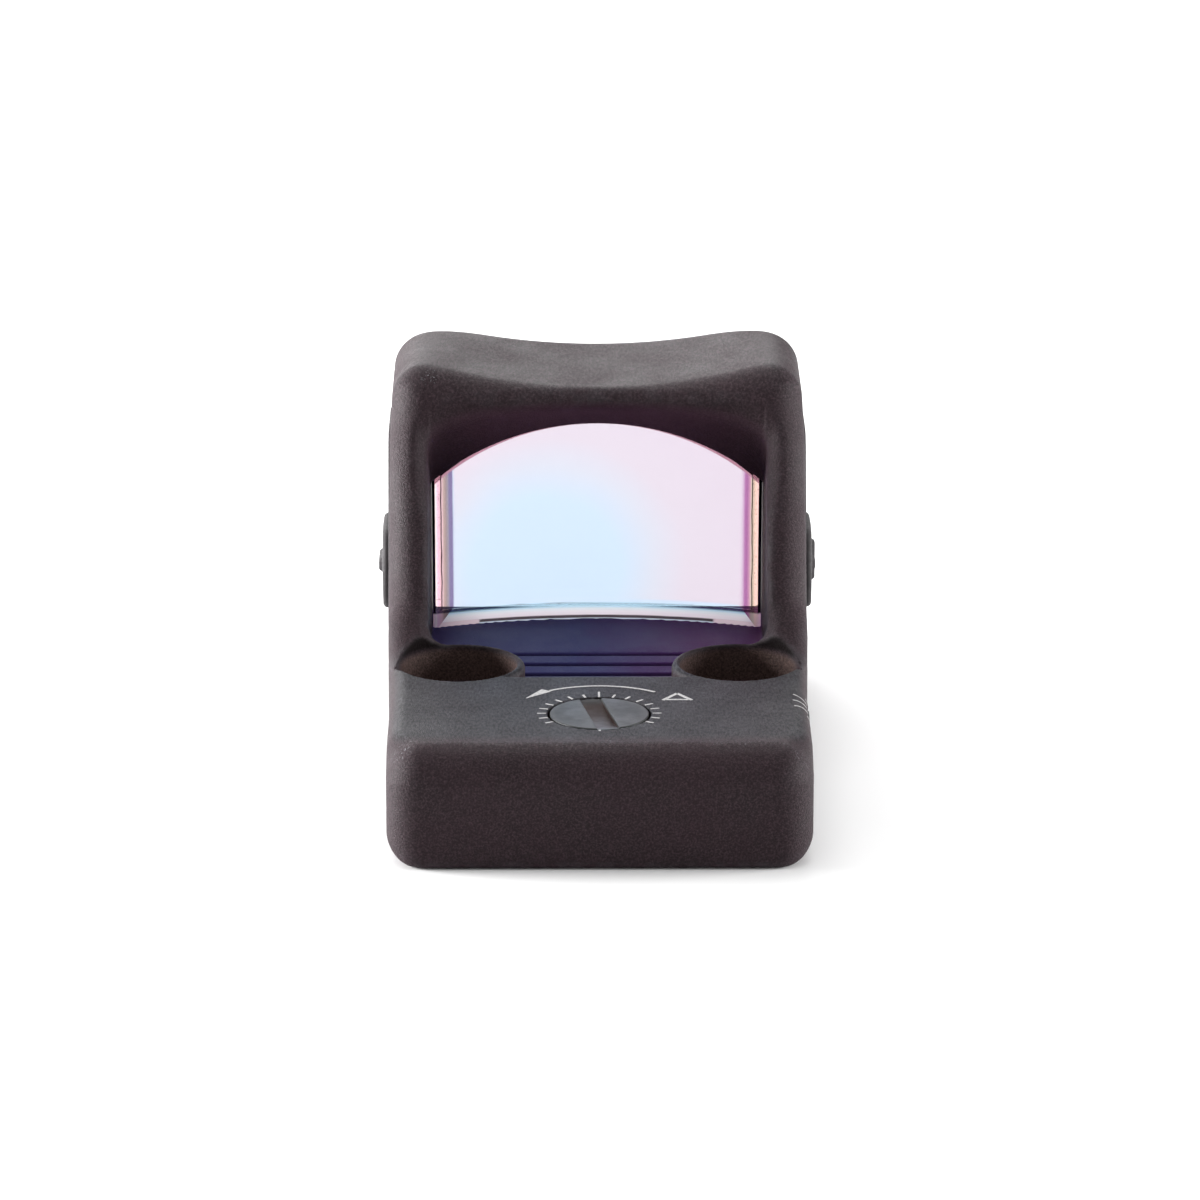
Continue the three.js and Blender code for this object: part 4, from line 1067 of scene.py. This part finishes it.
smooth_edge = np.zeros(SEAL_WAVES)
ragged_edge = rng.uniform(-0.01, 0.05, SEAL_WAVES)
ragged_edge[SEAL_FOOT_WAVES] *= 2
seal_rings = [
    on_sphere(seal_outline(0.12, 4.77, smooth_edge), 34.04),
    on_sphere(seal_outline(0.7, 5.75, ragged_edge), 34.04),
    on_sphere(seal_outline(0.62, 5.67, ragged_edge), 34.35),
    on_sphere(seal_outline(0.4, 5.3, ragged_edge * 0.5), 34.55),
    on_sphere(seal_outline(0.12, 4.77, smooth_edge), 34.6),
]
seal = linked("lens_adhesive", loft("lens_adhesive", seal_rings, True))
place(seal, FINISHES["adhesive"], "body", "adhesive", "lens_seal")


# --- Marks ----------------------------------------------------------------------------------------


def ribbon(path, width):
    """A thin raised strip that lies on the housing along a path of points, as one closed body."""
    path = settle(housing, np.array(path, float), 0.04, 4, 0.5)
    _, grad = slopes(housing, path, 0.05)
    up = grad / np.linalg.norm(grad, axis=1)[:, None]
    ahead = np.gradient(path, axis=0)
    across = np.cross(ahead, up)
    across /= np.linalg.norm(across, axis=1)[:, None]
    half = across * np.reshape(width, (-1, 1)) / 2
    top, low = path + up * 0.012, path - up * 0.03
    return [np.stack([low - half, top - half, top + half, low + half], 1)[i] for i in range(len(path))]


def ribbons(name, strips):
    """One mesh of several strips."""
    points, faces = [], []
    for rings in strips:
        start = sum(len(p) for p in points)
        points.append(np.concatenate(rings))
        for i in range(len(rings) - 1):
            a, b = start + 4 * i, start + 4 * i + 4
            faces += [(a + k, a + (k + 1) % 4, b + (k + 1) % 4, b + k) for k in range(4)]
        last = start + 4 * (len(rings) - 1)
        faces += [(start + 3, start + 2, start + 1, start), (last, last + 1, last + 2, last + 3)]
    return outward(name, points, faces, merge=False)


STROKE_STEP = math.radians(15)
TOP_STROKE, REAR_STROKE = 6, 18
ARROW_R = 5.9
ARROW_STEPS = 40
HEAD_STEPS = 8
SIDE_BEND_Z = 7.3


def deck_line(a, b, count=6):
    """Points on the deck from a to b."""
    return np.linspace([*a, DECK_Z], [*b, DECK_Z], count)


strips = []
centre = np.array([*DIAL, DECK_Z])
for i in [*range(-2, 15), REAR_STROKE]:
    reach = {TOP_STROKE: 4.6, REAR_STROKE: 3.75}.get(i, 4.1)
    way = np.array([math.cos(STROKE_STEP * i), math.sin(STROKE_STEP * i), 0])
    strips.append(ribbon(np.linspace(centre + way * 3.52, centre + way * reach, 6), 0.14))
turns = np.radians(np.linspace(51, 124, ARROW_STEPS))
arc = centre + ARROW_R * np.stack([np.cos(turns), np.sin(turns), np.zeros(ARROW_STEPS)], 1)
strips.append(ribbon(arc, 0.2))
arrow_head = deck_line((-3.5, -9.15), (-4.85, -10.85), HEAD_STEPS)
strips.append(ribbon(arrow_head, np.linspace(0.8, 0.04, HEAD_STEPS)))
strips.append(ribbon(deck_line((4.25, -11.3), (5.2, -9.85)), 0.24))
strips.append(ribbon(deck_line((6.15, -11.3), (5.2, -9.85)), 0.24))
strips.append(ribbon(deck_line((4.45, -11.2), (5.95, -11.2)), 0.24))
place(linked("deck_marks", ribbons("deck_marks", strips)), FINISHES["marks"], "body", "anodised_housing")

strips = []
centre = np.array([SIDE_X, *WINDAGE])
for i in range(-5, 6):
    angle = math.pi / 2 + STROKE_STEP * i
    reach = 4.75 if abs(i) < 2 else 3.8
    way = np.array([0, math.cos(angle), math.sin(angle)])
    stroke = np.linspace(centre + way * 3.25, centre + way * reach, 14)
    stroke[:, 0] -= np.maximum(stroke[:, 2] - SIDE_BEND_Z, 0) * 0.6
    strips.append(ribbon(stroke, 0.12))
side_marks = linked("windage_marks", ribbons("windage_marks", strips))
place(side_marks, FINISHES["marks"], "body", "anodised_housing")


# --- CAD pieces that stay -------------------------------------------------------------------------

kept = {row["node"]: row["material_slot"] for row in frame["record"]["subparts"]}
for name, obj in sorted(nodes_of.items()):
    if obj.hide_render:
        continue
    obj.data.materials.clear()
    obj.data.materials.append(FINISHES[kept[name]])
    for polygon in obj.data.polygons:
        polygon.material_index = 0
    bevel = obj.modifiers.new("softened", "BEVEL")
    bevel.width = 0.05 * MM
    bevel.segments = 2
    bevel.limit_method = "ANGLE"
    bevel.angle_limit = math.radians(40)


# --- Floor, light and camera ----------------------------------------------------------------------

scene = bpy.context.scene
scene.view_settings.view_transform = "Standard"

FLOOR_R = 3.0
FLOOR_Z = -0.00002
floor = linked("floor", bpy.data.meshes.new("floor"))
turns = np.linspace(0, 2 * np.pi, 97)[:-1]
floor_ring = [(FLOOR_R * math.cos(t), FLOOR_R * math.sin(t), FLOOR_Z) for t in turns]
floor.data.from_pydata(floor_ring, [], [tuple(range(len(floor_ring)))])
pale = Finish("floor_pale")
cloud = pale.noise(6, 2)
pale.colour(pale.mix(cloud, (0.93, 0.93, 0.93), (0.95, 0.95, 0.95)))
pale.roughness(pale.span(cloud, 0.3, 0.7, 0.8, 0.9))
floor.data.materials.append(pale.material)

world = bpy.data.worlds.new("studio")
scene.world = world
world.use_nodes = True
world.node_tree.nodes["Background"].inputs["Color"].default_value = (1, 1, 1, 1)
world.node_tree.nodes["Background"].inputs["Strength"].default_value = 0.4


LIT_POINT = Vector((0, 0, 0.01))


def softbox(name, where, size, power):
    """A round lamp that faces the object."""
    lamp = bpy.data.lights.new(name, "AREA")
    lamp.shape = "DISK"
    lamp.size = size
    lamp.energy = power
    obj = bpy.data.objects.new(name, lamp)
    scene.collection.objects.link(obj)
    obj.location = where
    obj.rotation_mode = "QUATERNION"
    obj.rotation_quaternion = (Vector(where) - LIT_POINT).to_track_quat("Z", "Y")


softbox("key", (0, 0.1, 0.95), 0.9, 2.9)
softbox("front", (-0.15, -0.9, 0.5), 0.5, 0.3)
softbox("back", (-0.16, 0.94, 0.42), 0.9, 8.6)
softbox("left", (-0.7, 0.12, 0.1), 0.4, 21.0)
softbox("right", (0.72, 0.05, 0.14), 0.4, 8.6)

AZIMUTH = math.radians(0.35)
ELEVATION = math.radians(17)
DISTANCE = 0.443
AIM = Vector((0.00013, 0, 0.0115))
camera = bpy.data.cameras.new("camera")
camera.sensor_width = 36
camera.lens = 195.8
camera.clip_start, camera.clip_end = 0.01, 20
eye = bpy.data.objects.new("camera", camera)
scene.collection.objects.link(eye)
level = Vector((-math.sin(AZIMUTH), -math.cos(AZIMUTH), 0)) * math.cos(ELEVATION)
back = level + Vector((0, 0, math.sin(ELEVATION)))
eye.location = AIM + back * DISTANCE
eye.rotation_mode = "QUATERNION"
eye.rotation_quaternion = back.to_track_quat("Z", "Y")
scene.camera = eye
